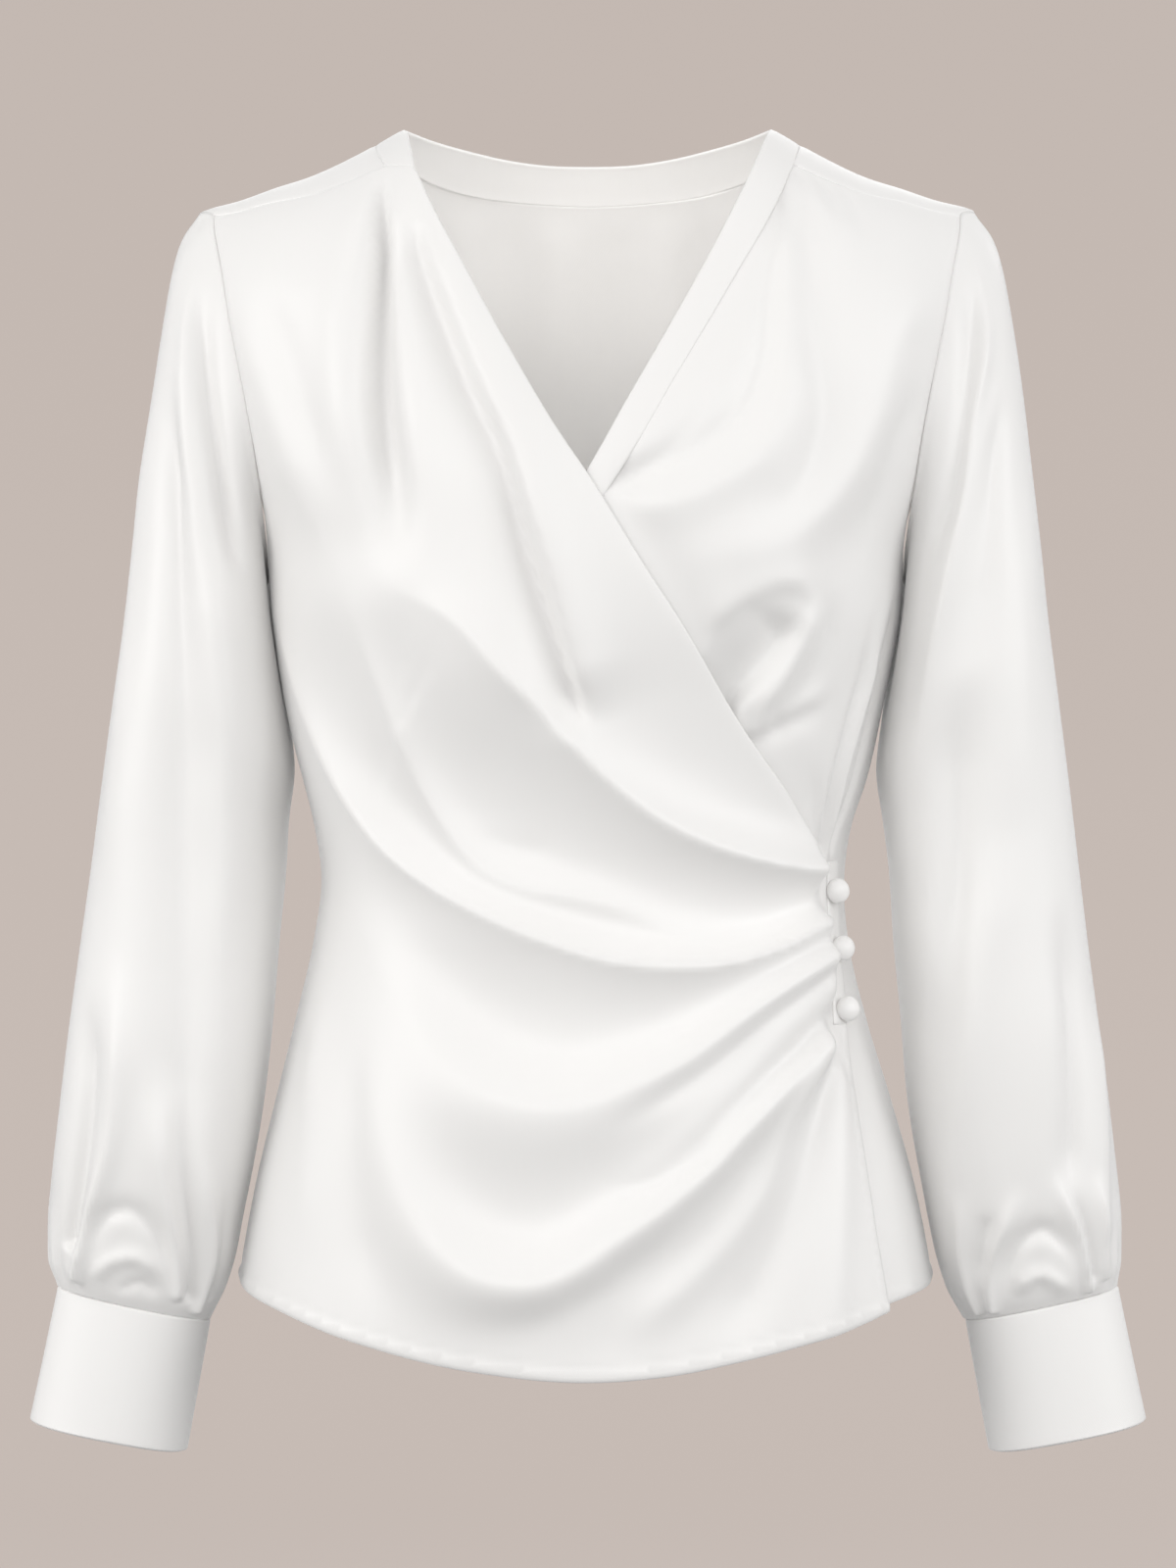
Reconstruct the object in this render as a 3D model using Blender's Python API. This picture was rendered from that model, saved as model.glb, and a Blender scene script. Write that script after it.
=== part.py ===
"""A hollow satin wrap top in its worn shape, made of closed walls. +Z is up and the front faces -Y.

Every panel is drawn on one flat pattern, in millimetres. `across` runs round the body from the
centre to the side seams at -SIDE and SIDE, negative towards the wearer's right. `along` is 0 on
the shoulder ridge, falls down the front and rises down the back.
"""

import bpy
import numpy as np
from mathutils.geometry import delaunay_2d_cdt

MM = 0.001
WALL = 2.0
SEAM = 0.3
LAYER = 1.2
CELL = 13.0
SIDE = 240.0
ARMPIT = 254.3
SHOULDER_ROUND = 70.0
SLOPE_FADE = 240.0
SECTION_FULLNESS = 0.13
CENTRE_PACE = 0.86
AROUND = 28
SLEEVE_FULLNESS = 0.10
SLEEVE_CLEARANCE = 1.6
SLEEVE_HEAD_GAP = 0.5
GATHER_START = 0.74
CUFF_STEP = 0.5
BUTTON_TURNS = 16
PLACKET_RISE = 0.6

IVORY_SATIN = (0.79, 0.765, 0.73, 1.0)
COVERED_BUTTON = (0.82, 0.80, 0.77, 1.0)


def table(names, rows):
    """The columns of a short table, by name."""
    return dict(zip(names.split(), np.array(rows, float).T))


# One level round the body, from the hem up.
BODY = table("height right_half left_half front back", (
    (-640, 182.0, 180.0, 117.0, 114.0),
    (-600, 178.0, 176.0, 116.0, 112.0),
    (-554, 172.5, 170.0, 113.0, 107.0),
    (-514, 165.0, 162.0, 110.0, 102.0),
    (-475, 156.0, 151.0, 106.0, 95.0),
    (-436, 146.0, 139.0, 101.0, 88.0),
    (-397, 137.0, 130.0, 96.5, 82.5),
    (-365, 133.0, 128.0, 94.0, 80.0),
    (-338, 137.0, 132.0, 96.0, 82.0),
    (-318, 141.6, 138.7, 99.0, 85.0),
    (-279, 150.0, 147.5, 107.0, 91.0),
    (-240, 157.0, 155.0, 115.0, 96.0),
    (-201, 161.0, 159.0, 118.0, 99.0),
    (-162, 174.0, 173.0, 116.0, 100.0),
    (-132, 184.0, 183.0, 110.0, 100.0),
    (-98, 192.0, 191.0, 100.0, 97.0),
    (-60, 197.0, 196.0, 88.0, 92.0),
    (-32, 200.0, 199.0, 80.0, 86.0),
    (0, 202.0, 201.0, 72.0, 80.0),
    (40, 203.0, 202.0, 64.0, 70.0),
))

# The shoulder ridge, from the neck out to the tip.
RIDGE = table("x height", (
    (-30, 32.0), (0, 35.0), (30, 32.0), (60, 23.5), (91, 8.5), (105, 0.5), (118, -6.5),
    (137, -15.0), (157, -21.0), (176, -28.0), (193, -32.5), (206, -37.0), (220, -42.0),
))

# Seams and free edges as pattern points.
NECK_SEAM_BACK = (
    (-81.1, -52.8), (-85.5, -28), (-85.8, 0), (-79, 29), (-68.4, 54.6), (-48, 76), (-24, 87),
    (0, 90.8), (24, 87), (48, 76), (68.4, 54.6), (79, 29), (86, 0), (85.5, -28), (82.8, -50),
)
NECK_SEAM_LEFT = (
    (82.8, -50), (76.1, -79.1), (53.1, -138.6), (34.5, -177.6), (21.4, -203.1), (8, -224),
    (-14, -255), (-46, -301), (-88, -350), (-146, -393),
)
BAND_EDGE_BACK = (
    (-68.5, -65.5), (-72, -30), (-73.3, 0), (-63.3, 31.3), (-47.4, 52), (-31.5, 64), (-15.7, 70.4),
    (0, 72.2), (15.7, 70.4), (31.5, 64), (47.4, 52), (63.3, 31.3), (73.3, 0), (72, -30), (69, -50.3),
)
BAND_EDGE_LEFT = (
    (69, -50.3), (65.1, -68.4), (51.5, -111.1), (34.9, -149.3), (17.7, -183.3), (0, -214.3),
    (-24, -246), (-57, -290), (-97, -335), (-146, -371),
)
OVERLAP_NECK_EDGE = (
    (-68.5, -65.5), (-60.9, -92.9), (-46.9, -129.9), (-30.6, -166.2), (-12.4, -199.4),
    (0, -217), (38, -270.8), (85.7, -333), (171.8, -396.8),
)
PLACKET_SEAM = ((179, -396.8), (181, -415), (178, -438), (170, -458), (162, -475.5))
PLACKET_EDGE = ((197, -396.8), (199, -415), (196, -438), (187.5, -458), (177.9, -475.5))
SLIT_EDGE = ((177.9, -475.5), (164.9, -512.6), (157.7, -545), (155.5, -572.4), (156.8, -614.1))
OVERLAP_HEM = (
    (-240, -603), (-205, -608), (-163.9, -613.6), (-108, -626.4), (-50, -638.7), (0, -643.4),
    (33.6, -640.8), (69, -634), (110, -625.1), (156.8, -614.1),
)
UNDERLAP_HEM = (
    (-150, -612), (-108, -621), (-50, -633.5), (0, -638), (50, -633), (110, -619.5),
    (158, -611), (180, -608), (218, -605), (240, -601.5),
)
BACK_HEM = ((-240, 603), (-200, 612), (-120, 624), (0, 630), (120, 624), (200, 611), (240, 601.5))
ARMHOLE_FRONT = (
    (204.5, 0), (187, -23.7), (186, -45), (180, -84), (176.5, -122), (178, -160), (184, -187),
    (194, -211), (208, -231), (224, -246), (240, -254.3),
)
ARMHOLE_BACK = (
    (240, 254.3), (228.5, 237), (216, 217), (208.5, 195), (203, 172), (198.5, 148), (195.5, 115),
    (195, 81), (196, 48), (199, 24), (204.5, 0),
)

# Folds: height, width on the left and right of the path, share of width kept at its end, path.
OVERLAP_FOLDS = (
    (3.0, 8, 16, 1.2, ((-95, -56), (-101, -97), (-105, -150), (-108, -215))),
    (3.0, 12, 8, 1.2, ((-72, -72), (-66, -115), (-68, -165), (-80, -215))),
    (2.5, 14, 10, 1.2, ((-150, -71), (-131, -129), (-130, -184), (-122, -245))),
    (6.0, 18, 8, 1.3, ((-66, -98), (-55, -140), (-44, -178), (-32, -222), (-19, -274), (-4, -316))),
    (8.0, 26, 11, 0.30, ((-98, -253), (-77, -266), (-58, -284), (-20, -315), (10, -349), (45, -375),
                         (98, -392), (176, -400))),
    (5.0, 16, 11, 0.30, ((-110, -283), (-102, -330), (-72, -373), (-34, -396), (12, -406), (99, -415),
                         (178, -409))),
    (9.0, 26, 12, 0.28, ((-200, -270), (-171, -344), (-121, -387), (-68, -420), (-22, -436),
                         (28, -445), (76, -445), (128, -434), (179, -421))),
    (8.0, 22, 22, 0.25, ((-195, -395), (-118, -444), (-73, -481), (-39, -504), (-9, -508), (31, -494),
                         (92, -467), (177, -437))),
    (8.0, 20, 20, 0.28, ((-160, -455), (-120, -491), (-81, -537), (-44, -574), (-13, -587),
                         (18, -578), (57, -541), (111, -495), (170, -456))),
    (6.0, 16, 16, 0.35, ((-10, -628), (44, -597), (80, -556), (129, -505), (163, -474))),
    (3.0, 12, 14, 0.50, ((104, -612), (120, -570), (138, -524), (161, -484))),
)
UNDERLAP_FOLDS = (
    (4.0, 16, 9, 1.0, ((84, -80), (83, -140), (80, -174), (69, -201), (45, -222), (16, -234))),
    (2.2, 9, 9, 1.0, ((100, -62), (100, -128), (111, -182), (124, -222))),
    (1.2, 7, 7, 1.0, ((113, -56), (115, -80), (116, -106))),
    (4.0, 15, 14, 1.2, ((164, -79), (144, -143), (137, -183), (138, -220), (144, -262))),
    (6.5, 15, 8, 0.9, ((44, -302), (68, -280), (95, -264), (116, -266), (124, -283), (115, -302),
                       (100, -323), (86, -340))),
    (3.0, 9, 8, 0.8, ((108, -362), (135, -340), (160, -326))),
    (4.0, 10, 10, 0.40, ((147, -262), (160, -311), (170, -354), (187, -392))),
    (4.0, 9, 9, 0.40, ((199, -257), (197, -301), (203, -354), (212, -392))),
    (2.5, 12, 12, 1.0, ((197, -484), (190, -532), (188, -600))),
)
BACK_FOLDS = (
    (3.0, 24, 24, 1.0, ((-70, 110), (-92, 200), (-96, 300), (-84, 390))),
    (3.0, 24, 24, 1.0, ((72, 112), (96, 205), (98, 310), (88, 395))),
    (4.0, 18, 26, 0.7, ((-205, 300), (-120, 352), (-20, 372), (90, 378), (200, 400))),
    (4.0, 16, 28, 0.7, ((-190, 400), (-90, 432), (10, 440), (110, 430), (205, 418))),
    (3.5, 26, 26, 1.3, ((-120, 470), (-132, 540), (-138, 606))),
    (3.5, 26, 26, 1.3, ((-10, 470), (-6, 540), (-4, 612))),
    (3.5, 26, 26, 1.3, ((118, 470), (130, 540), (136, 604))),
)

# Sleeve outlines as distances from the centre line, from the shoulder down.
SLEEVE_OUTER = table("height right left", (
    (-32.5, 193.5, 193.5), (-39, 199, 198.5), (-44, 202, 201), (-64, 208, 207), (-83, 212, 211),
    (-103, 214.6, 214), (-122.5, 217, 217), (-162, 221.5, 221.5), (-201, 225.5, 226),
    (-240, 230.5, 230), (-279, 237, 235), (-318.5, 242.5, 240), (-358, 247.5, 244.5),
    (-397, 252.8, 249), (-436, 258, 254), (-475, 262.6, 259), (-514.5, 266.4, 262.6),
    (-534, 266.6, 263.8), (-554, 265.6, 263.6), (-568, 263.4, 263.0),
))
SLEEVE_INNER = table("height right left", (
    (-215, 160, 158.5), (-232, 154, 152), (-250, 151, 149), (-270, 149, 147), (-290, 147, 145),
    (-308, 146, 143.5), (-338, 149.5, 147.5), (-358, 150.5, 150), (-397, 154, 152.5),
    (-436, 157, 156), (-475, 161, 159), (-514, 167, 165), (-534, 171.5, 169), (-554, 176, 174),
    (-573, 183, 181), (-584.5, 188, 187),
))
# One ring of the sleeve: where its outer and inner ends lie, its reach and its middle in y.
SLEEVE_RINGS = table("outer_height inner_height front back middle armhole_share", (
    (-32.5, -215.0, 50, 35, 0, 1.0),
    (-40.0, -218.5, 51, 37, 0, 0.85),
    (-54.0, -222.0, 52, 40, 0, 0.62),
    (-77.0, -227.0, 54, 43, 0, 0.38),
    (-107.0, -233.0, 56, 46, 0, 0.18),
    (-142.0, -241.0, 58, 49, 0, 0.06),
    (-180.0, -253.0, 60, 52, 0, 0),
    (-220.0, -270.0, 61, 54, 0, 0),
    (-262.0, -294.0, 60, 55, -1, 0),
    (-306.0, -326.0, 58, 54, -1, 0),
    (-352.0, -364.0, 56, 53, -2, 0),
    (-399.0, -407.0, 55, 52, -4, 0),
    (-445.0, -451.0, 54, 51, -6, 0),
    (-486.0, -491.0, 52, 50, -8, 0),
    (-517.0, -524.0, 49, 48, -9, 0),
    (-538.0, -549.0, 44, 43, -10, 0),
    (-553.0, -567.0, 36, 35, -11, 0),
    (-562.0, -578.0, 29, 28.5, -12, 0),
    (-568.0, -584.5, 26, 26, -12, 0),
))
# Sleeve folds: turns in degrees from the outer side over the front, where each starts and ends.
SLEEVE_FOLDS = table("turn_above turn_below height width start end", (
    (88, 126, 3.5, 15, 0.10, 0.88),
    (66, 50, 3.0, 15, 0.38, 0.97),
    (22, 28, 2.5, 18, 0.30, 0.95),
    (206, 216, 3.0, 22, 0.15, 0.95),
    (266, 252, 3.0, 18, 0.22, 0.90),
    (322, 312, 3.0, 20, 0.12, 0.95),
))
# Gathers into the cuff, one at every other point round the sleeve, from the outer side.
SLEEVE_GATHERS = (2.6, 3.4, 2.2, 3.0, 3.6, 2.4, 2.8, 2.0, 3.2, 2.6, 3.4, 2.4, 3.0, 2.2)
CUFF_RINGS = table("outer_x outer_height inner_x inner_height front back middle", (
    (263.3, -568.0, 187.5, -584.5, 26.0, 26.0, -12.0),
    (264.6, -574.0, 188.6, -590.4, 26.2, 26.2, -12.1),
    (276.5, -629.4, 198.6, -645.1, 27.3, 27.3, -13.9),
    (277.4, -633.6, 199.5, -649.3, 27.3, 27.3, -14.0),
))
BUTTON_PLACES = ((189.5, -409.0), (189.5, -438.5), (178.5, -467.0))
BUTTON_PROFILE = table("radius height", (
    (4.0, 0.0), (5.1, 1.1), (5.5, 2.4), (5.1, 3.8), (4.0, 5.0), (2.2, 5.8),
))
BUTTON_TOP = 6.1


def spline(at, knots, values):
    """A smooth curve through the rows of a table, at any places along it."""
    order = np.argsort(knots)
    knots, values = knots[order], values[order]
    slopes = np.gradient(values, knots)
    row = np.clip(np.searchsorted(knots, at) - 1, 0, len(knots) - 2)
    step = knots[row + 1] - knots[row]
    u = np.clip((at - knots[row]) / step, 0, 1)
    rise = u * u * (3 - 2 * u)
    leave = u * (1 - u) ** 2 * step
    arrive = u * u * (u - 1) * step
    return (1 - rise) * values[row] + rise * values[row + 1] + leave * slopes[row] + arrive * slopes[row + 1]


def smooth(u):
    u = np.clip(u, 0, 1)
    return u * u * (3 - 2 * u)


def level(height, name):
    return spline(height, BODY["height"], BODY[name])


def half_width(height, across):
    return np.where(across < 0, level(height, "right_half"), level(height, "left_half"))


def section(share):
    """Sideways and depth ratios of a body section, at a share of the way from centre to side."""
    turn = np.pi / 2 * (CENTRE_PACE * share + (1 - CENTRE_PACE) * share ** 3)
    sideways = np.sin(turn) * (1 + SECTION_FULLNESS * np.cos(turn) ** 2)
    depth = np.cos(turn) * (1 + SECTION_FULLNESS * np.sin(turn) ** 2)
    return sideways, depth


def body(flat):
    """The body surface at pattern points."""
    across, along = flat.T
    sideways, depth = section(np.abs(across) / SIDE)
    sideways = sideways * np.sign(across)
    bend = np.minimum(np.abs(along) / SHOULDER_ROUND, np.pi / 2)
    below = SHOULDER_ROUND * (1 - np.cos(bend)) + np.maximum(np.abs(along) - SHOULDER_ROUND * np.pi / 2, 0)
    slope = 1 - smooth(below / SLOPE_FADE)
    height = -below
    for _ in range(12):
        x = sideways * half_width(height, across)
        height = spline(np.abs(x), RIDGE["x"], RIDGE["height"]) * slope - below
    reach = np.where(along < 0, -level(height, "front"), level(height, "back"))
    return np.column_stack([x, reach * depth * np.sin(bend), height])


def body_normal(flat):
    """Outward unit normals of the body surface at pattern points."""
    step = 0.5
    inner = flat * [1 - 1e-4, 1]
    run = body(inner + [step, 0]) - body(inner - [step, 0])
    rise = body(inner + [0, step]) - body(inner - [0, step])
    return unit(np.cross(run, rise))


def unit(vectors):
    return vectors / np.linalg.norm(vectors, axis=-1, keepdims=True)


def trace(points, step=CELL):
    """A smooth line through pattern points, with points about a step apart."""
    points = np.array(points, float)
    places = np.concatenate([[0], np.cumsum(np.linalg.norm(np.diff(points, axis=0), axis=1))])
    count = max(2, int(round(places[-1] / step)) + 1)
    at = np.linspace(0, places[-1], count)
    return np.column_stack([spline(at, places, column) for column in points.T])


def joined(*lines):
    """Lines laid end to end as one closed outline, with no point twice."""
    points = np.concatenate(lines)
    gaps = np.linalg.norm(points - np.roll(points, 1, axis=0), axis=1)
    return points[gaps > 1e-6]


def signed_area(outline):
    x, y = outline.T
    return 0.5 * np.sum(x * np.roll(y, -1) - y * np.roll(x, -1))


def inset(outline, distance):
    """The outline moved inwards at right angles to its edges."""
    if signed_area(outline) < 0:
        outline = outline[::-1]
    before = unit(outline - np.roll(outline, 1, axis=0))
    after = unit(np.roll(outline, -1, axis=0) - outline)
    inward_before = np.column_stack([-before[:, 1], before[:, 0]])
    inward_after = np.column_stack([-after[:, 1], after[:, 0]])
    middle = unit(inward_before + inward_after)
    reach = distance / np.maximum(np.sum(middle * inward_before, axis=1), 0.3)
    return outline + middle * reach[:, None]


def beside(points, line):
    """Signed distance from a line, left of it positive, and the place along it from 0 to 1."""
    starts = line[:-1]
    runs = line[1:] - starts
    offset = points[:, None, :] - starts
    share = np.clip(np.sum(offset * runs, axis=2) / np.sum(runs * runs, axis=1), 0, 1)
    away = offset - share[:, :, None] * runs
    nearest = np.argmin(np.sum(away * away, axis=2), axis=1)
    rows = np.arange(len(points))
    share, away, run = share[rows, nearest], away[rows, nearest], runs[nearest]
    side = np.sign(run[:, 0] * away[:, 1] - run[:, 1] * away[:, 0])
    return side * np.linalg.norm(away, axis=1), (nearest + share) / len(runs)


def inside(points, outline):
    """Which points lie inside a closed outline."""
    x, y = points.T
    odd = np.zeros(len(points), bool)
    for (x1, y1), (x2, y2) in zip(outline, np.roll(outline, -1, axis=0)):
        if y1 == y2:
            continue
        odd ^= ((y1 > y) != (y2 > y)) & (x < x1 + (y - y1) * (x2 - x1) / (y2 - y1))
    return odd


def thinned(kept, candidates, spacing):
    """The points kept so far, and each candidate that stays a spacing away from all of them."""
    for point in candidates:
        nearest = np.min(np.sum((kept - point) ** 2, axis=1))
        if nearest >= spacing ** 2:
            kept = np.vstack([kept, point])
    return kept


def fold_guides(folds, step):
    """Pattern points on the crest of each fold, then points down both of its flanks."""
    crests, flanks = [], []
    for _, left, right, end_share, path in folds:
        line = trace(path, step)
        run = unit(np.gradient(line, axis=0))
        sideways = np.column_stack([-run[:, 1], run[:, 0]])
        share = 1 + (end_share - 1) * np.linspace(0, 1, len(line))
        crests.append(line)
        for reach in (0.85 * left, -0.85 * right, 1.75 * left, -1.75 * right):
            flanks.append(line + sideways * (reach * share)[:, None])
    return np.vstack(crests), np.vstack(flanks)


def even_rows(outline, step):
    """Points in staggered rows over the box of an outline."""
    low, high = outline.min(axis=0), outline.max(axis=0)
    rows = np.arange(low[1], high[1], step * 0.87)
    return np.array([
        (x + (step / 2 if index % 2 else 0), y)
        for index, y in enumerate(rows)
        for x in np.arange(low[0], high[0], step)
    ])


def well_inside(points, outline, margin):
    edge = np.vstack([outline, outline[:1]])
    return points[inside(points, outline) & (np.abs(beside(points, edge)[0]) > margin)]


def fill(outline, folds, fold_step, step):
    """Triangles over an outline, closer together along its folds: pattern points and faces."""
    points = outline
    if folds:
        crests, flanks = fold_guides(folds, fold_step)
        points = thinned(points, well_inside(crests, outline, 5.0), fold_step * 0.75)
        points = thinned(points, well_inside(flanks, outline, 5.0), fold_step * 0.85)
    points = thinned(points, well_inside(even_rows(outline, step), outline, step * 0.5), step * 0.72)
    count = len(outline)
    edges = [(index, (index + 1) % count) for index in range(count)]
    flat, _, faces, *_ = delaunay_2d_cdt([tuple(p) for p in points], edges, [], 1, 1e-5)
    return np.array([tuple(p) for p in flat]), [tuple(face) for face in faces]


def rim_edges(faces):
    """The edges that only one face has, in that face's direction."""
    seen = {}
    for face in faces:
        for start, end in zip(face, face[1:] + face[:1]):
            seen[(start, end)] = True
    return [edge for edge in seen if edge[::-1] not in seen]


def closed(outer, inner, faces):
    """A closed wall between two surfaces that share the same faces."""
    count = len(outer)
    walls = list(faces) + [tuple(index + count for index in face[::-1]) for face in faces]
    rims = [(end, start, start + count, end + count) for start, end in rim_edges(faces)]
    return np.vstack([outer, inner]), walls + rims


def cloth(outline, lift, folds=(), fold_step=CELL, step=CELL):
    """The wall of one panel: its outline on the pattern, lifted off the body surface."""
    flat, faces = fill(inset(outline, SEAM / 2), folds, fold_step, step)
    normal = body_normal(flat)
    outer = body(flat) + normal * lift(flat)[:, None]
    return closed(outer, outer - normal * WALL, faces)


def fold_lift(flat, folds):
    """Height of a set of folds at pattern points."""
    lift = np.zeros(len(flat))
    for height, left, right, end_share, path in folds:
        distance, place = beside(flat, trace(path, 8.0))
        width = np.where(distance > 0, left, right) * (1 + (end_share - 1) * place)
        fade = smooth(place / 0.25) * smooth((1 - place) / 0.10)
        lift += height * fade * np.exp(-((distance / width) ** 2))
    return lift


def off_line(flat, line, reach):
    """0 on a line, rising to 1 at the given reach from it."""
    return smooth(np.abs(beside(flat, trace(line))[0]) / reach)


def overlap_edge():
    return np.vstack([trace(OVERLAP_NECK_EDGE), trace(PLACKET_EDGE), trace(SLIT_EDGE)[1:]])


def overlap_lift(flat):
    held = off_line(flat, PLACKET_SEAM, 9.0)
    return fold_lift(flat, OVERLAP_FOLDS) * held


def beneath(flat):
    """1 where the overlap covers the pattern, fading to 0 beyond its edge."""
    return 1 - smooth((beside(flat, overlap_edge())[0] - 4.0) / 24.0)


def underlap_lift(flat):
    open_part = smooth((beside(flat, overlap_edge())[0] - 3.0) / 18.0)
    side = smooth((SIDE - np.abs(flat[:, 0])) / 14.0)
    return fold_lift(flat, UNDERLAP_FOLDS) * open_part * side - (WALL + LAYER) * beneath(flat)


def band_lift(flat):
    return -(WALL + LAYER) * beneath(flat) * (flat[:, 1] < 0)


def back_lift(flat):
    side = smooth((SIDE - np.abs(flat[:, 0])) / 20.0)
    return fold_lift(flat, BACK_FOLDS) * side


def placket_lift(flat):
    return np.full(len(flat), PLACKET_RISE)


def armhole(side):
    """One armhole as AROUND pattern points evenly spaced on the body, from the shoulder tip over the front."""
    halves = []
    for line in (ARMHOLE_FRONT, ARMHOLE_BACK):
        dense = trace(line, 1.0) * [side, 1]
        length = np.linalg.norm(np.diff(body(dense), axis=0), axis=1)
        places = np.concatenate([[0], np.cumsum(length)])
        at = np.linspace(0, places[-1], AROUND // 2 + 1)[:-1]
        halves.append(np.column_stack([np.interp(at, places, column) for column in dense.T]))
    return np.vstack(halves)


def side_seam(side, front, hem):
    """The side seam from the hem to the armpit, on the front or the back of the pattern."""
    count = int(round((hem - ARMPIT) / CELL)) + 1
    along = np.linspace(hem, ARMPIT, count) * (-1 if front else 1)
    return np.column_stack([np.full(count, side * SIDE), along])


def shoulder_seam(side):
    """The forward shoulder seam from the armhole to the neckline."""
    start = armhole(side)[1]
    end = NECK_SEAM_BACK[0] if side < 0 else NECK_SEAM_BACK[-1]
    return trace((start, end))


def overlap_outline():
    hole = armhole(-1)
    band_end = trace((NECK_SEAM_BACK[0], BAND_EDGE_BACK[0]), 20.0)
    return joined(
        trace(OVERLAP_HEM),
        trace(SLIT_EDGE)[::-1],
        trace((PLACKET_EDGE[-1], PLACKET_SEAM[-1])),
        trace(PLACKET_SEAM)[::-1],
        trace(OVERLAP_NECK_EDGE)[::-1],
        band_end[::-1],
        shoulder_seam(-1)[::-1],
        hole[1:AROUND // 2],
        side_seam(-1, True, 603.0)[::-1],
    )


def underlap_outline():
    hole = armhole(1)
    return joined(
        trace(UNDERLAP_HEM),
        side_seam(1, True, 601.5),
        hole[1:AROUND // 2][::-1],
        shoulder_seam(1),
        trace(NECK_SEAM_LEFT),
        trace((NECK_SEAM_LEFT[-1], UNDERLAP_HEM[0])),
    )


def back_outline():
    right, left = armhole(-1), armhole(1)
    half = AROUND // 2
    return joined(
        trace(BACK_HEM),
        side_seam(1, False, 601.5),
        left[half:],
        left[:2],
        shoulder_seam(1),
        trace(NECK_SEAM_BACK)[::-1],
        shoulder_seam(-1)[::-1],
        right[:2][::-1],
        right[half:][::-1],
        side_seam(-1, False, 603.0)[::-1],
    )


def band_outline():
    return joined(
        trace(NECK_SEAM_BACK),
        trace(NECK_SEAM_LEFT),
        trace((NECK_SEAM_LEFT[-1], BAND_EDGE_LEFT[-1]), 20.0),
        trace(BAND_EDGE_LEFT)[::-1],
        trace(BAND_EDGE_BACK)[::-1],
        trace((BAND_EDGE_BACK[0], NECK_SEAM_BACK[0]), 20.0),
    )


def placket_outline():
    return joined(
        trace(PLACKET_EDGE, 8.0),
        trace((PLACKET_EDGE[-1], PLACKET_SEAM[-1])),
        trace(PLACKET_SEAM)[::-1],
        trace((PLACKET_SEAM[0], PLACKET_EDGE[0]), 8.0),
    )


def ring(outer, inner, front, back, middle, turns):
    """One loop of a tube between two ends in the x-z plane, with its reach in y."""
    wide = np.cos(turns) * (1 + SLEEVE_FULLNESS * np.sin(turns) ** 2)
    deep = np.sin(turns) * (1 + SLEEVE_FULLNESS * np.cos(turns) ** 2)
    centre, half = (outer + inner) / 2, (outer - inner) / 2
    y = middle - np.where(deep > 0, front, back) * deep
    return np.column_stack([centre[0] + half[0] * wide, y, centre[1] + half[1] * wide])


def turns():
    return np.arange(AROUND) * 2 * np.pi / AROUND


def sleeve_base(side):
    """Rings of the sleeve from the armhole down to the cuff, before its folds."""
    name = "right" if side < 0 else "left"
    rows = SLEEVE_RINGS
    outer_x = spline(rows["outer_height"], SLEEVE_OUTER["height"], SLEEVE_OUTER[name])
    inner_x = spline(rows["inner_height"], SLEEVE_INNER["height"], SLEEVE_INNER[name])
    rings = [
        ring(
            np.array([side * outer_x[i], rows["outer_height"][i]]),
            np.array([side * inner_x[i], rows["inner_height"][i]]),
            rows["front"][i], rows["back"][i], rows["middle"][i], turns(),
        )
        for i in range(len(outer_x))
    ]
    hole = body(armhole(side))
    drift = hole - rings[0]
    grid = np.array([loop + drift * share for loop, share in zip(rings, rows["armhole_share"])])
    return clear_of_body(grid, hole, side)


def clear_of_body(grid, hole, side):
    """The rings' inner side pushed out sideways where it would press into the body."""
    shares = np.linspace(0, 1, 400)
    sideways, depth = section(shares)
    x, y, height = grid[1:].transpose(2, 0, 1)
    reach = np.where(y < 0, level(height, "front"), level(height, "back"))
    share = np.interp(-np.abs(y) / reach, -depth, shares)
    edge = half_width(height, np.full_like(x, side)) * np.interp(share, shares, sideways)
    wanted = edge + SLEEVE_CLEARANCE
    found = np.abs(x)
    pushed = (wanted + found + np.sqrt((wanted - found) ** 2 + 6.0)) / 2
    below = smooth((hole[None, :, 2] - height) / 6.0) * (np.abs(y) < reach)
    inner_side = smooth((0.35 - np.cos(turns())) / 0.6)
    grid[1:, :, 0] = side * (found + (pushed - found) * below * inner_side)
    return grid


def tube_normals(grid):
    """Outward normals of a tube of rings."""
    around = np.roll(grid, -1, axis=1) - np.roll(grid, 1, axis=1)
    down = np.gradient(grid, axis=0)
    normal = unit(np.cross(around, down))
    outward = grid - grid.mean(axis=1, keepdims=True)
    return normal * np.sign(np.sum(normal * outward))


def sleeve_lift(grid):
    """Height of the sleeve's long folds and of the gathers above the cuff."""
    length = np.linalg.norm(np.diff(grid.mean(axis=1), axis=0), axis=1)
    down = np.concatenate([[0], np.cumsum(length)]) / length.sum()
    turn = np.degrees(turns())[None, :]
    lift = np.zeros(grid.shape[:2])
    for above, below, height, width, start, end in zip(*SLEEVE_FOLDS.values()):
        crest = above + (below - above) * smooth(down)[:, None]
        apart = (turn - crest + 180) % 360 - 180
        fade = smooth((down - start) / 0.12) * smooth((end - down) / 0.10)
        lift += height * np.exp(-((apart / width) ** 2)) * fade[:, None]
    gathers = np.zeros(AROUND)
    gathers[::2] = SLEEVE_GATHERS
    drawn_in = smooth((down - GATHER_START) / 0.16) * smooth((1.0 - down) / 0.04)
    return lift + drawn_in[:, None] * gathers


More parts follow.
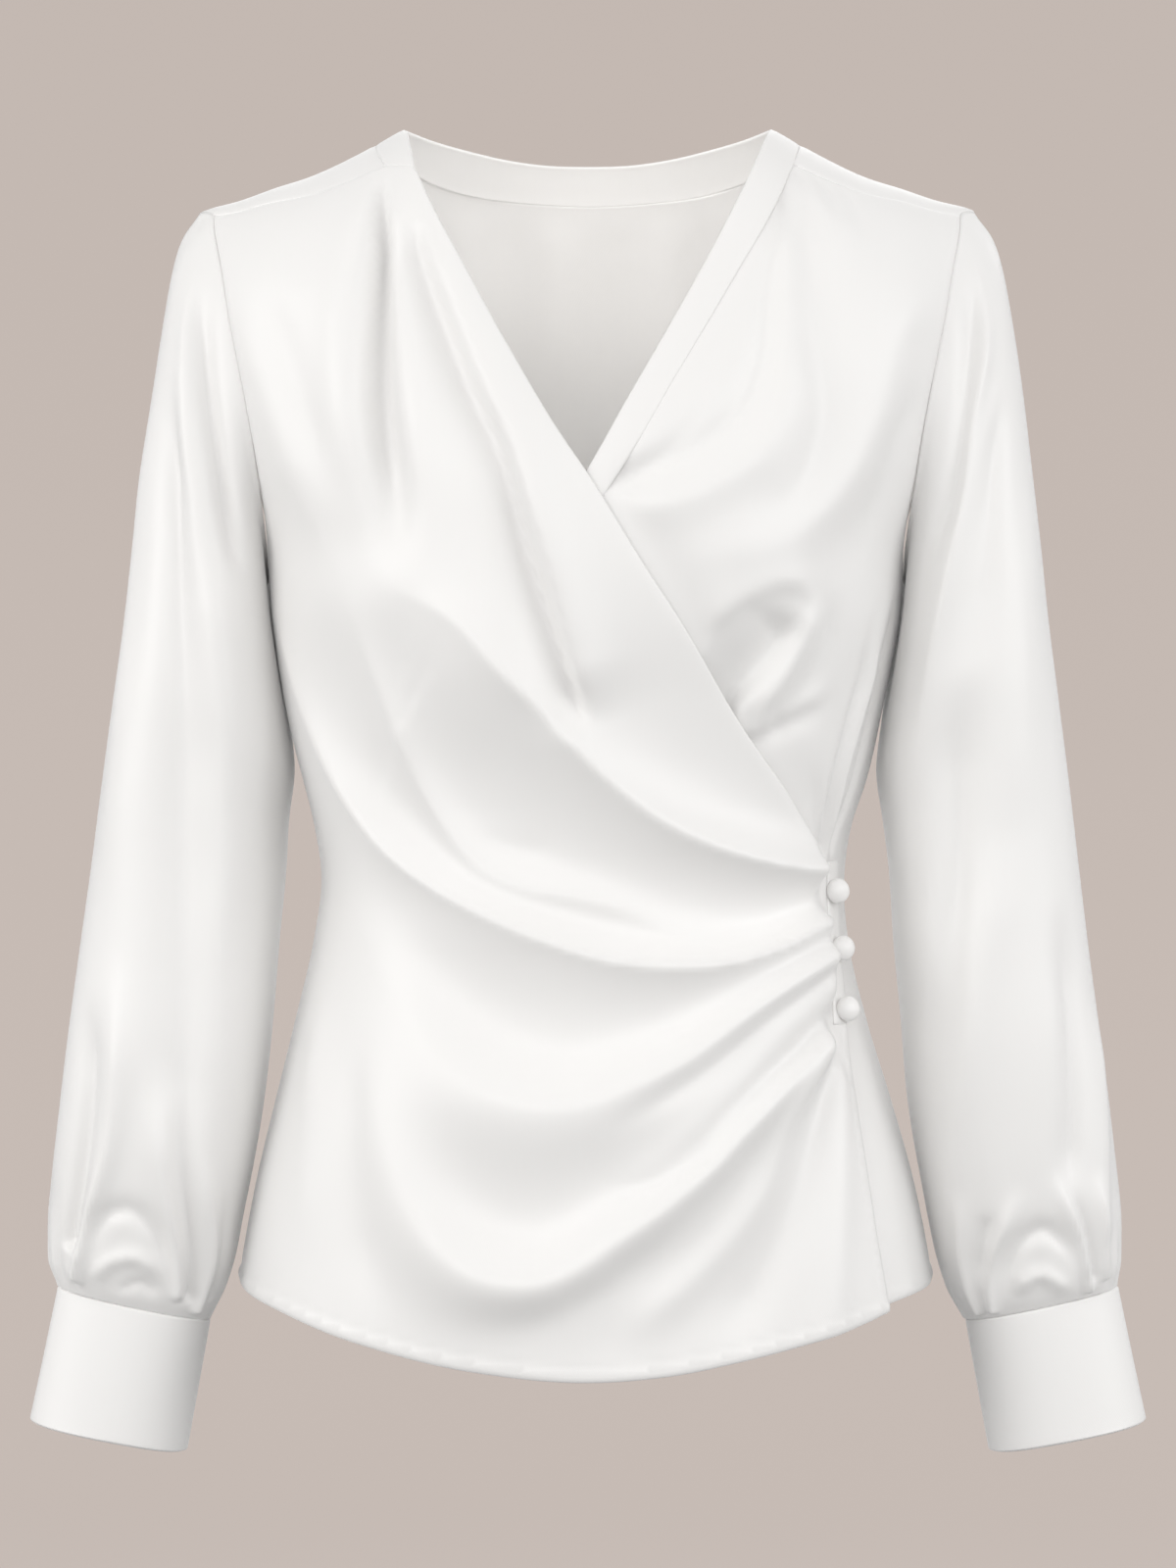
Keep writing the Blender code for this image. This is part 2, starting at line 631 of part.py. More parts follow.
def sleeve(side):
    """The sleeve's wall. Its first ring follows the armhole, its last one the cuff."""
    base = sleeve_base(side)
    normal = tube_normals(base)
    lift = sleeve_lift(base) * np.clip((np.abs(base[:, :, 0]) - 165) / 30, 0, 1)
    outer = base + normal * lift[:, :, None]
    inner = outer - normal * WALL
    hole = armhole(side)
    away = body_normal(hole)
    low = smooth((-0.1 - np.cos(turns())) / 0.8)[:, None]
    start = unit(unit(base[1] - base[0]) * (1 - low) + away * low)
    outer[0] = base[0] + start * SLEEVE_HEAD_GAP
    inner[0] = outer[0] - unit(away * (1 - low) + normal[0] * low) * WALL
    axis = unit((base[-1] - base[-2]).mean(axis=0))
    flat_out = unit(normal[-1] - np.outer(normal[-1] @ axis, axis))
    outer[-1] = base[-1] - flat_out * CUFF_STEP - axis * SEAM
    inner[-1] = outer[-1] - flat_out * WALL
    return tube(outer, inner)


def cuff(side):
    rows = CUFF_RINGS
    grid = np.array([
        ring(
            np.array([side * rows["outer_x"][i], rows["outer_height"][i]]),
            np.array([side * rows["inner_x"][i], rows["inner_height"][i]]),
            rows["front"][i], rows["back"][i], rows["middle"][i], turns(),
        )
        for i in range(len(rows["front"]))
    ])
    normal = tube_normals(grid)
    return tube(grid, grid - normal * WALL)


def tube(outer, inner):
    """A closed wall between two tubes of rings."""
    rings, count, _ = outer.shape
    faces = []
    for row in range(rings - 1):
        for place in range(count):
            beside_it = (place + 1) % count
            here, below = row * count, (row + 1) * count
            faces.append((here + place, below + place, below + beside_it, here + beside_it))
    return closed(outer.reshape(-1, 3), inner.reshape(-1, 3), faces)


def button(place):
    """A covered button standing on the placket at a pattern point."""
    flat = np.array([place], float)
    axis = body_normal(flat)[0]
    foot = body(flat)[0] + axis * (PLACKET_RISE + SEAM)
    across = unit(np.cross(axis, [0.0, 0.0, 1.0]))
    up = np.cross(across, axis)
    angles = np.arange(BUTTON_TURNS) * 2 * np.pi / BUTTON_TURNS
    circle = np.outer(np.cos(angles), across) + np.outer(np.sin(angles), up)
    rows = zip(BUTTON_PROFILE["radius"], BUTTON_PROFILE["height"])
    loops = [foot + circle * radius + axis * height for radius, height in rows]
    points = np.vstack(loops + [[foot], [foot + axis * BUTTON_TOP]])
    last = (len(loops) - 1) * BUTTON_TURNS
    faces = []
    for place_on in range(BUTTON_TURNS):
        following = (place_on + 1) % BUTTON_TURNS
        for row in range(len(loops) - 1):
            low, high = row * BUTTON_TURNS, (row + 1) * BUTTON_TURNS
            faces.append((low + place_on, low + following, high + following, high + place_on))
        faces.append((len(points) - 2, following, place_on))
        faces.append((len(points) - 1, last + place_on, last + following))
    return points, faces


def volume(points, faces):
    total = 0.0
    for face in faces:
        first = points[face[0]]
        for second, third in zip(face[1:-1], face[2:]):
            total += np.dot(first, np.cross(points[second], points[third]))
    return total


def material(name, colour, roughness):
    made = bpy.data.materials.new(name)
    made.use_nodes = True
    shader = made.node_tree.nodes["Principled BSDF"]
    shader.inputs["Base Color"].default_value = colour
    shader.inputs["Roughness"].default_value = roughness
    shader.inputs["Metallic"].default_value = 0.0
    made.diffuse_color = colour
    return made


def add(name, solid, colour=IVORY_SATIN, roughness=0.34):
    """One named, closed, smooth-shaded object, facing out."""
    points, faces = solid
    if volume(points, faces) < 0:
        faces = [face[::-1] for face in faces]
    mesh = bpy.data.meshes.new(name)
    mesh.from_pydata([tuple(point * MM) for point in points], [], faces)
    mesh.polygons.foreach_set("use_smooth", [True] * len(mesh.polygons))
    mesh.materials.append(material(name, colour, roughness))
    mesh.update()
    made = bpy.data.objects.new(name, mesh)
    bpy.context.scene.collection.objects.link(made)


def main():
    for old in list(bpy.data.objects):
        bpy.data.objects.remove(old, do_unlink=True)
    add("back", cloth(back_outline(), back_lift, BACK_FOLDS, 18.0, 26.0))
    add("front_right", cloth(overlap_outline(), overlap_lift, OVERLAP_FOLDS, 9.0, 16.0))
    add("front_left", cloth(underlap_outline(), underlap_lift, UNDERLAP_FOLDS, 9.0, 20.0))
    add("neckband", cloth(band_outline(), band_lift))
    add("placket", cloth(placket_outline(), placket_lift))
    for number, place in enumerate(BUTTON_PLACES, 1):
        add(f"button_{number}", button(place), COVERED_BUTTON, 0.30)
    for side, name in ((-1, "right"), (1, "left")):
        add(f"sleeve_{name}", sleeve(side))
        add(f"cuff_{name}", cuff(side))


main()
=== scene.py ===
import math
from functools import partial
import bpy
import numpy as np
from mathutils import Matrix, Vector
from mathutils.geometry import delaunay_2d_cdt


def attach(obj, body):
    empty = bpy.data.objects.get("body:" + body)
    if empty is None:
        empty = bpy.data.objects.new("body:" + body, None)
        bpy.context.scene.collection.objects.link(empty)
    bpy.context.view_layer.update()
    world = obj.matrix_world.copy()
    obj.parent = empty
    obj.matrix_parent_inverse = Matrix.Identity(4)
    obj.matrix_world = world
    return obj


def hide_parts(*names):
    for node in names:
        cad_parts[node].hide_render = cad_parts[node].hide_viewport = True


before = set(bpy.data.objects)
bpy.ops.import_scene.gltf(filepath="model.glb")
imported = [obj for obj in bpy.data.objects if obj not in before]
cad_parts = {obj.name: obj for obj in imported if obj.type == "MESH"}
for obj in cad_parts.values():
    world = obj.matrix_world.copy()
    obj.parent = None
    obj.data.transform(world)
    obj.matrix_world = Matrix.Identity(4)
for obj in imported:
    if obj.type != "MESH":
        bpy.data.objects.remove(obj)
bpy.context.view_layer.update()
print("frame loaded")

mm = 0.001


def columns(names, rows):  # a short table read as named columns
    return dict(zip(names.split(), np.array(rows, float).T))


# The dress form. Cloth is drawn flat in millimetres: across runs from the centre to the side
# seams, minus on the wearer's right; along is 0 on the shoulder, minus down the front.
sideSeam = 240.0
armpit = 254.3
form = {"shoulderRound": 70.0, "slopeFade": 240.0, "fullness": 0.13, "centrePace": 0.86}
formLevels = columns("height right left front back", (
    (-640, 182, 180, 117, 114), (-600, 178, 176, 116, 112), (-554, 172.5, 170, 113, 107),
    (-514, 165, 162, 110, 102), (-475, 156, 151, 106, 95), (-436, 146, 139, 101, 88),
    (-397, 137, 130, 96.5, 82.5), (-365, 133, 128, 94, 80), (-338, 137, 132, 96, 82),
    (-318, 141.6, 138.7, 99, 85), (-279, 150, 147.5, 107, 91), (-240, 157, 155, 115, 96),
    (-201, 161, 159, 118, 99), (-162, 174, 173, 116, 100), (-132, 184, 183, 110, 100),
    (-98, 192, 191, 100, 97), (-60, 197, 196, 88, 92), (-32, 200, 199, 80, 86), (0, 202, 201, 72, 80),
    (40, 203, 202, 64, 70),
))
shoulderRidge = columns("x height", (
    (-30, 32), (0, 35), (30, 32), (60, 23.5), (91, 8.5), (105, 0.5), (118, -6.5), (137, -15), (157, -21),
    (176, -28), (193, -32.5), (206, -37), (220, -42),
))


def smooth(u):
    u = np.clip(u, 0, 1)
    return u * u * (3 - 2 * u)


def unit(vectors):
    return vectors / np.maximum(np.linalg.norm(vectors, axis=-1, keepdims=True), 1e-12)


def spline(at, knots, values):  # smooth curve through a table's rows
    order = np.argsort(knots)
    knots, values = knots[order], values[order]
    slopes = np.gradient(values, knots)
    row = np.clip(np.searchsorted(knots, at) - 1, 0, len(knots) - 2)
    step = knots[row + 1] - knots[row]
    u = np.clip((at - knots[row]) / step, 0, 1)
    rise = u * u * (3 - 2 * u)
    leave = u * (1 - u) ** 2 * step
    arrive = u * u * (u - 1) * step
    return (1 - rise) * values[row] + rise * values[row + 1] + leave * slopes[row] + arrive * slopes[row + 1]


def formLevel(height, name):
    return spline(height, formLevels["height"], formLevels[name])


def formHalf(height, across):
    return np.where(across < 0, formLevel(height, "right"), formLevel(height, "left"))


def formSection(share):  # sideways and depth ratios from the centre to the side
    turn = np.pi / 2 * (form["centrePace"] * share + (1 - form["centrePace"]) * share ** 3)
    return (np.sin(turn) * (1 + form["fullness"] * np.cos(turn) ** 2),
            np.cos(turn) * (1 + form["fullness"] * np.sin(turn) ** 2))


def onForm(flat):
    across, along = flat.T
    sideways, depth = formSection(np.abs(across) / sideSeam)
    sideways = sideways * np.sign(across)
    roundOff = form["shoulderRound"]
    bend = np.minimum(np.abs(along) / roundOff, np.pi / 2)
    below = roundOff * (1 - np.cos(bend)) + np.maximum(np.abs(along) - roundOff * np.pi / 2, 0)
    slope = 1 - smooth(below / form["slopeFade"])
    height = -below
    for _ in range(12):
        x = sideways * formHalf(height, across)
        height = spline(np.abs(x), shoulderRidge["x"], shoulderRidge["height"]) * slope - below
    reach = np.where(along < 0, -formLevel(height, "front"), formLevel(height, "back"))
    return np.column_stack([x, reach * depth * np.sin(bend), height])


def formNormal(flat):
    inner = flat * [1 - 1e-4, 1]
    run = onForm(inner + [0.5, 0]) - onForm(inner - [0.5, 0])
    rise = onForm(inner + [0, 0.5]) - onForm(inner - [0, 0.5])
    return unit(np.cross(run, rise))


def tracing(points, step=3.0):  # a smooth line through flat points
    points = np.array(points, float).reshape(-1, 2)
    places = np.concatenate([[0], np.cumsum(np.linalg.norm(np.diff(points, axis=0), axis=1))])
    at = np.linspace(0, places[-1], max(2, int(round(places[-1] / step)) + 1))
    return np.column_stack([spline(at, places, column) for column in points.T])


def joined(*lines):
    points = np.concatenate(lines)
    return points[np.linalg.norm(points - np.roll(points, 1, axis=0), axis=1) > 0.02]


def anticlockwise(outline):
    x, y = outline.T
    area = 0.5 * np.sum(x * np.roll(y, -1) - y * np.roll(x, -1))
    return (outline[::-1] if area < 0 else outline), abs(area)


def inset(outline, distance):
    before = unit(outline - np.roll(outline, 1, axis=0))
    after = unit(np.roll(outline, -1, axis=0) - outline)
    inBefore = np.column_stack([-before[:, 1], before[:, 0]])
    inAfter = np.column_stack([-after[:, 1], after[:, 0]])
    middle = unit(inBefore + inAfter)
    reach = distance / np.maximum(np.sum(middle * inBefore, axis=1), 0.3)
    return outline + middle * reach[:, None]


blockSize = 4000  # points measured at a time, to keep the memory small


def beside(points, line):  # signed distance, left of the line positive, and place 0 to 1
    starts, runs = line[:-1], line[1:] - line[:-1]
    lengths = np.sum(runs * runs, axis=1)
    distance, place = np.empty(len(points)), np.empty(len(points))
    for block in np.array_split(np.arange(len(points)), len(points) // blockSize + 1):
        offset = points[block][:, None, :] - starts
        share = np.clip(np.sum(offset * runs, axis=2) / lengths, 0, 1)
        away = offset - share[:, :, None] * runs
        nearest = np.argmin(np.sum(away * away, axis=2), axis=1)
        rows = np.arange(len(block))
        share, away, run = share[rows, nearest], away[rows, nearest], runs[nearest]
        side = np.sign(run[:, 0] * away[:, 1] - run[:, 1] * away[:, 0])
        distance[block] = side * np.linalg.norm(away, axis=1)
        place[block] = (nearest + share) / len(runs)
    return distance, place


def inside(points, outline):
    x, y = points.T
    odd = np.zeros(len(points), bool)
    for (x1, y1), (x2, y2) in zip(outline, np.roll(outline, -1, axis=0)):
        if y1 != y2:
            odd ^= ((y1 > y) != (y2 > y)) & (x < x1 + (y - y1) * (x2 - x1) / (y2 - y1))
    return odd


edgeRows = (0.8, 2.2)  # how far in from a panel's edge its close rows of points lie


def fillPanel(outline, step):  # flat points and triangles, with close rows along the edge
    closedLine = np.vstack([outline, outline[:1]])
    points = [outline]
    for distance in edgeRows:
        row = inset(outline, distance)
        away = np.abs(beside(row, closedLine)[0])
        points.append(row[(away > 0.75 * distance) & inside(row, outline)])
    low, high = outline.min(axis=0), outline.max(axis=0)
    grid = np.array([
        (x + (step / 2 if index % 2 else 0), y)
        for index, y in enumerate(np.arange(low[1], high[1], step * 0.87))
        for x in np.arange(low[0], high[0], step)
    ])
    grid = grid[inside(grid, outline)]
    points.append(grid[np.abs(beside(grid, closedLine)[0]) > edgeRows[-1] + step * 0.6])
    count = len(outline)
    edges = [(index, (index + 1) % count) for index in range(count)]
    flat, _, faces, *_ = delaunay_2d_cdt([tuple(p) for p in np.vstack(points)], edges, [], 1, 1e-5)
    return np.array([tuple(p) for p in flat]), np.array([tuple(face) for face in faces])


# A crease row: height, width left and right of its line, how round the crest is on each side,
# share of the width at the line's end, share of the line to rise and to die away, and the line
# itself as across, along, across, along.
def creaseLift(flat, rows):
    lift = np.zeros(len(flat))
    for height, left, right, leftCrest, rightCrest, endShare, rise, fall, path in rows:
        line = tracing(path, 6.0)
        reach = 4 * max(left, right) * max(1, endShare)
        near = np.all((flat > line.min(axis=0) - reach) & (flat < line.max(axis=0) + reach), axis=1)
        distance, place = beside(flat[near], line)
        width = np.where(distance > 0, left, right) * (1 + (endShare - 1) * place)
        crest = np.where(distance > 0, leftCrest, rightCrest)
        fade = smooth(place / rise) * smooth((1 - place) / fall)
        lift[near] += height * fade * np.exp(-np.abs(distance / width) ** crest)
    return lift


slackWaves = {"count": 9, "shortest": 60, "longest": 170}


def slackness(flat, height, seed):  # the faint unevenness of hanging cloth
    pick = np.random.default_rng(seed)
    lift = np.zeros(len(flat))
    for _ in range(slackWaves["count"]):
        wave = pick.uniform(slackWaves["shortest"], slackWaves["longest"])
        angle = pick.uniform(0, np.pi)
        phase = pick.uniform(0, 2 * np.pi)
        lift += np.sin(flat @ [np.cos(angle), np.sin(angle)] * 2 * np.pi / wave + phase)
    return lift * height / math.sqrt(slackWaves["count"])


def foldLift(flat, rows, cut):
    return creaseLift(flat, rows) + slackness(flat, cut["slack"], cut["seed"])


def towardSide(flat, reach):  # 0 on the side seams, 1 at the reach from them
    return smooth((sideSeam - np.abs(flat[:, 0])) / reach)


def offLine(flat, line, reach):  # 0 on a line, 1 at the reach from it
    return smooth(np.abs(beside(flat, tracing(line))[0]) / reach)


def offCorner(flat, reach):  # 0 where the wrap runs smoothly into the neckband, 1 at the reach from it
    return offLine(flat, (backNeck[0], wrapEdge[0]), reach)


seamDip = {"width": 1.6, "cornerReach": 34.0}
edgeRound = 0.3  # how far a cut edge swells outward, as a share of the cloth's thickness


# Meshes: a piece of cloth is two faces and a rounded edge between them.
def edgeLoops(faces):
    edges = np.concatenate([faces[:, [0, 1]], faces[:, [1, 2]], faces[:, [2, 0]]]).tolist()
    seen = {tuple(edge) for edge in edges}
    return [edge for edge in sorted(seen) if edge[::-1] not in seen]


def makeCloth(name, node, outer, inner, grain, faces, edgeOut):
    count = len(outer)
    edges = edgeLoops(faces)
    corners = sorted({corner for edge in edges for corner in edge})
    middle = {corner: 2 * count + number for number, corner in enumerate(corners)}
    edgePoints = (outer[corners] + inner[corners]) / 2 + edgeOut[corners]
    allFaces = faces.tolist() + (faces[:, ::-1] + count).tolist()
    sides = [0] * len(faces) + [1] * len(faces)
    for start, end in edges:
        allFaces.append((end, start, middle[start], middle[end]))
        allFaces.append((middle[end], middle[start], start + count, end + count))
        sides += [0, 0]
    points = np.vstack([outer, inner, edgePoints])
    return makePiece(name, node, points, allFaces, np.vstack([grain, grain, grain[corners]]),
                     sides, [satin, satinReverse])


def newObject(name, data):
    thing = bpy.data.objects.new(name, data)
    bpy.context.scene.collection.objects.link(thing)
    return thing


def newMesh(name, points, faces, materials):
    mesh = bpy.data.meshes.new(name)
    mesh.from_pydata(points.tolist(), [], faces)
    mesh.polygons.foreach_set("use_smooth", [True] * len(mesh.polygons))
    for material in materials:
        mesh.materials.append(material)
    return mesh


def makePiece(name, node, points, faces, grain, sides, materials):
    mesh = newMesh(name, points * mm, faces, materials)
    mesh.polygons.foreach_set("material_index", sides)
    corner = np.empty(len(mesh.loops), np.int32)
    mesh.loops.foreach_get("vertex_index", corner)
    layer = mesh.uv_layers.new(name="grain")  # where each point lies on the flat cloth, in metres
    layer.data.foreach_set("uv", (grain[corner] * mm).astype(np.float32).ravel())
    mesh.update()
    piece = newObject(name, mesh)
    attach(piece, "root")
    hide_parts(node)
    return piece


def sewPanel(name, node, outline, lift, cut):
    outline, area = anticlockwise(outline)
    flat, faces = fillPanel(inset(outline, cut["seam"] / 2), cut["step"])
    normal = formNormal(flat)
    edge, _ = beside(flat, np.vstack([outline, outline[:1]]))
    dip = cut["edgeDip"] * offCorner(flat, seamDip["cornerReach"]) * np.exp(-(edge / seamDip["width"]) ** 2)
    raised = lift(flat) - dip
    outer = onForm(flat) + normal * raised[:, None]
    inner = outer - normal * cut["thick"]
    outward = np.zeros_like(flat)
    for start, end in edgeLoops(faces):
        run = unit(flat[end] - flat[start])
        outward[[start, end]] += [run[1], -run[0]]
    edgeOut = unit(onForm(flat + 0.5 * unit(outward)) - onForm(flat)) * edgeRound * cut["thick"]
    piece = makeCloth(name, node, outer, inner, flat, faces, edgeOut)
    print(name, len(flat), "points, cut from", round(area / 1e6, 4), "square metres")
    return piece, area / 1e6


# Cloth finishes
def newGroup(name, inputs, outputs):
    group = bpy.data.node_groups.new(name, "ShaderNodeTree")
    for label, (kind, value) in inputs.items():
        socket = group.interface.new_socket(label, in_out="INPUT", socket_type="NodeSocket" + kind)
        if value is not None:
            socket.default_value = value
    for label, kind in outputs.items():
        group.interface.new_socket(label, in_out="OUTPUT", socket_type="NodeSocket" + kind)
    return group, group.nodes.new("NodeGroupInput").outputs, group.nodes.new("NodeGroupOutput")


def feed(tree, node, sockets):  # links outputs to the node's sockets and sets plain values on them
    for label, value in sockets.items():
        if isinstance(value, bpy.types.NodeSocket):
            tree.links.new(value, node.inputs[label])
        else:
            node.inputs[label].default_value = value
    return node


def newNode(tree, kind, sockets):
    return feed(tree, tree.nodes.new("ShaderNode" + kind), sockets)


def mathNode(tree, operation, *values):
    node = newNode(tree, "Math", dict(enumerate(values)))
    node.operation = operation
    return node.outputs[0]


thread = {"width": 0.0004, "depth": 0.00005, "sheenSpread": 0.4}  # width and depth in metres
weave = {"rowsPerThread": 0.2, "lean": 2.0, "sink": 0.25, "slubStretch": (900, 14, 1), "slubDetail": 3.0}


def satinWeaveGroup():  # long warp floats, crossed now and then by a sunk weft
    tree, given, out = newGroup("satin weave", {
        "Cloth": ("Vector", None), "Thread": ("Float", thread["width"]), "Slub": ("Float", 0.35)},
        {"Height": "Float", "Streak": "Float"})
    maths = partial(mathNode, tree)
    x, y, _ = newNode(tree, "SeparateXYZ", {0: given["Cloth"]}).outputs
    turnsPerThread = maths("DIVIDE", 2 * math.pi, given["Thread"])
    warp = maths("SINE", maths("MULTIPLY", x, turnsPerThread))
    slow = maths("MULTIPLY", turnsPerThread, weave["rowsPerThread"])
    diagonal = maths("ADD", y, maths("MULTIPLY", x, weave["lean"]))
    weft = maths("SINE", maths("MULTIPLY", diagonal, slow))
    sunk = maths("MULTIPLY", maths("ADD", weft, 1.0), weave["sink"])
    stretch = newNode(tree, "Mapping", {"Scale": weave["slubStretch"], "Vector": given["Cloth"]})
    slub = newNode(tree, "TexNoise", {
        "Scale": 1.0, "Detail": weave["slubDetail"], "Vector": stretch.outputs[0]})
    uneven = maths("MULTIPLY", slub.outputs[0], given["Slub"])
    floats = maths("SUBTRACT", maths("MULTIPLY", warp, 0.5), sunk)
    feed(tree, out, {"Height": maths("ADD", floats, uneven), "Streak": slub.outputs[0]})
    return tree


cloud = {"scale": 9.0, "detail": 2.0, "share": 0.75, "swing": 0.16}


def softToneGroup():  # the slight cloudiness of white cloth, by colour and by polish
    tree, given, out = newGroup("soft tone", {
        "Place": ("Vector", None), "Light": ("Color", (1, 1, 1, 1)), "Deep": ("Color", (0.9, 0.9, 0.9, 1)),
        "Streak": ("Float", 0.5), "Polish": ("Float", 0.35)},
        {"Colour": "Color", "Roughness": "Float"})
    maths = partial(mathNode, tree)
    noise = newNode(tree, "TexNoise", {
        "Scale": cloud["scale"], "Detail": cloud["detail"], "Vector": given["Place"]})
    mixed = maths("ADD", maths("MULTIPLY", noise.outputs[0], cloud["share"]),
                  maths("MULTIPLY", given["Streak"], 1 - cloud["share"]))
    shade = tree.nodes.new("ShaderNodeMix")
    shade.data_type = "RGBA"
    feed(tree, shade, {"Factor": mixed, "A": given["Deep"], "B": given["Light"]})
    swing = maths("MULTIPLY", maths("SUBTRACT", mixed, 0.5), cloud["swing"])
    feed(tree, out, {
        "Colour": shade.outputs["Result"], "Roughness": maths("ADD", given["Polish"], swing)})
    return tree


satinWeave = satinWeaveGroup()
softTone = softToneGroup()


def newMaterial(name):
    material = bpy.data.materials.new(name)
    material.use_nodes = True
    return material, material.node_tree, material.node_tree.nodes["Principled BSDF"]


def clothMaterial(name, light, deep, polish, gloss, sheen, grain, slub, relief):
    material, tree, shader = newMaterial(name)
    flat = tree.nodes.new("ShaderNodeUVMap")
    flat.uv_map = "grain"
    woven, tone = tree.nodes.new("ShaderNodeGroup"), tree.nodes.new("ShaderNodeGroup")
    woven.node_tree, tone.node_tree = satinWeave, softTone
    feed(tree, woven, {"Thread": thread["width"], "Slub": slub, "Cloth": flat.outputs[0]})
    feed(tree, tone, {
        "Light": light, "Deep": deep, "Polish": polish, "Streak": woven.outputs["Streak"],
        "Place": tree.nodes.new("ShaderNodeTexCoord").outputs["Object"]})
    bump = newNode(tree, "Bump", {
        "Strength": relief, "Distance": thread["depth"], "Height": woven.outputs["Height"]})
    feed(tree, shader, {
        "Specular IOR Level": gloss, "Sheen Weight": sheen, "Sheen Roughness": thread["sheenSpread"],
        "Anisotropic": grain, "Base Color": tone.outputs["Colour"], "Roughness": tone.outputs["Roughness"],
        "Normal": bump.outputs[0]})
    return material


satin = clothMaterial(
    "ivory satin", light=(0.885, 0.877, 0.867, 1), deep=(0.855, 0.845, 0.832, 1),
    polish=0.40, gloss=0.50, sheen=1.0, grain=0.45, slub=0.35, relief=0.25)
satinReverse = clothMaterial(
    "satin reverse", light=(0.86, 0.85, 0.838, 1), deep=(0.83, 0.818, 0.802, 1),
    polish=0.62, gloss=0.35, sheen=0.2, grain=0.0, slub=0.5, relief=0.4)
buttonSatin = clothMaterial(
    "button satin", light=(0.92, 0.913, 0.905, 1), deep=(0.89, 0.88, 0.868, 1),
    polish=0.36, gloss=0.6, sheen=0.15, grain=0.2, slub=0.3, relief=0.3)
print("cloth finishes made")

# Seam lines that more than one panel is cut to
frontArmhole = ((204.5, 0), (187, -23.7), (186, -45), (180, -84), (176.5, -122), (178, -160),
                (184, -187), (194, -211), (208, -231), (224, -246), (240, -254.3))
backArmhole = ((240, 254.3), (228.5, 237), (216, 217), (208.5, 195), (203, 172), (198.5, 148),
               (195.5, 115), (195, 81), (196, 48), (199, 24), (204.5, 0))
backNeck = ((-81.1, -52.8), (-85.5, -28), (-85.8, 0), (-79, 29), (-68.4, 54.6), (-48, 76), (-24, 87),
            (0, 90.8), (24, 87), (48, 76), (68.4, 54.6), (79, 29), (86, 0), (85.5, -28), (82.8, -50))
leftNeck = ((82.8, -50), (76.1, -79.1), (53.1, -138.6), (34.5, -177.6), (21.4, -203.1), (8, -224),
            (-14, -255), (-46, -301), (-88, -350), (-146, -393))
wrapEdge = ((-68.5, -65.5), (-60.9, -92.9), (-46.9, -129.9), (-30.6, -166.2), (-12.4, -199.4),
            (0, -217), (38, -270.8), (85.7, -333), (171.8, -396.8))
closureSeam = ((179, -396.8), (181, -415), (178, -438), (170, -458), (162, -475.5))
closureEdge = ((197, -396.8), (199, -415), (196, -438), (187.5, -458), (177.9, -475.5))
slitEdge = ((177.9, -475.5), (164.9, -512.6), (157.7, -545), (155.5, -572.4), (156.8, -614.1))
seamShare = 1 / 14  # the shoulder seam meets the armhole this far down the front


def armholePart(side, line, start, end, count=None):  # even places along an armhole line
    dense = tracing(line, 1.0) * [side, 1]
    length = np.linalg.norm(np.diff(onForm(dense), axis=0), axis=1)
    places = np.concatenate([[0], np.cumsum(length)])
    count = count or int(round((end - start) * places[-1] / 3.0)) + 1
    at = np.linspace(start, end, count) * places[-1]
    return np.column_stack([np.interp(at, places, column) for column in dense.T])


def armholeRing(side, count):
    half = count // 2
    return np.vstack([armholePart(side, frontArmhole, 0, 1, half + 1)[:-1],
                      armholePart(side, backArmhole, 0, 1, half + 1)[:-1]])


def straight(start, end, step=3.0):
    count = max(2, int(round(math.dist(start, end) / step)) + 1)
    return np.linspace(start, end, count)


def shoulderSeam(side):
    start = armholePart(side, frontArmhole, seamShare, 1)[0]
    return straight(start, backNeck[0] if side < 0 else backNeck[-1])


def wrapLine():
    return np.vstack([tracing(wrapEdge), tracing(closureEdge), tracing(slitEdge)[1:]])


wrapCover = {"past": 4.0, "fade": 24.0}


def underWrap(flat):  # 1 where the wrap lies over the cloth, fading out beyond its edge
    return 1 - smooth((beside(flat, wrapLine())[0] - wrapCover["past"]) / wrapCover["fade"])


def beneathWrap(flat, sink):  # hidden cloth keeps under the wrap and under its hollows
    return underWrap(flat) * (np.minimum(creaseLift(flat, wrapCreases), 0) - sink)


hem = {"rollAt": 2.6, "rollWidth": 2.0, "stitchAt": 6.2, "stitchWidth": 0.9, "stitchShare": 0.4}


def turnedEdge(flat, line, height):  # the soft roll of a narrow hem and the dip of its stitching
    away = np.abs(beside(flat, tracing(line))[0])
    roll = height * np.exp(-((away - hem["rollAt"]) / hem["rollWidth"]) ** 2)
    stitch = hem["stitchShare"] * height * np.exp(-((away - hem["stitchAt"]) / hem["stitchWidth"]) ** 2)
    return roll - stitch


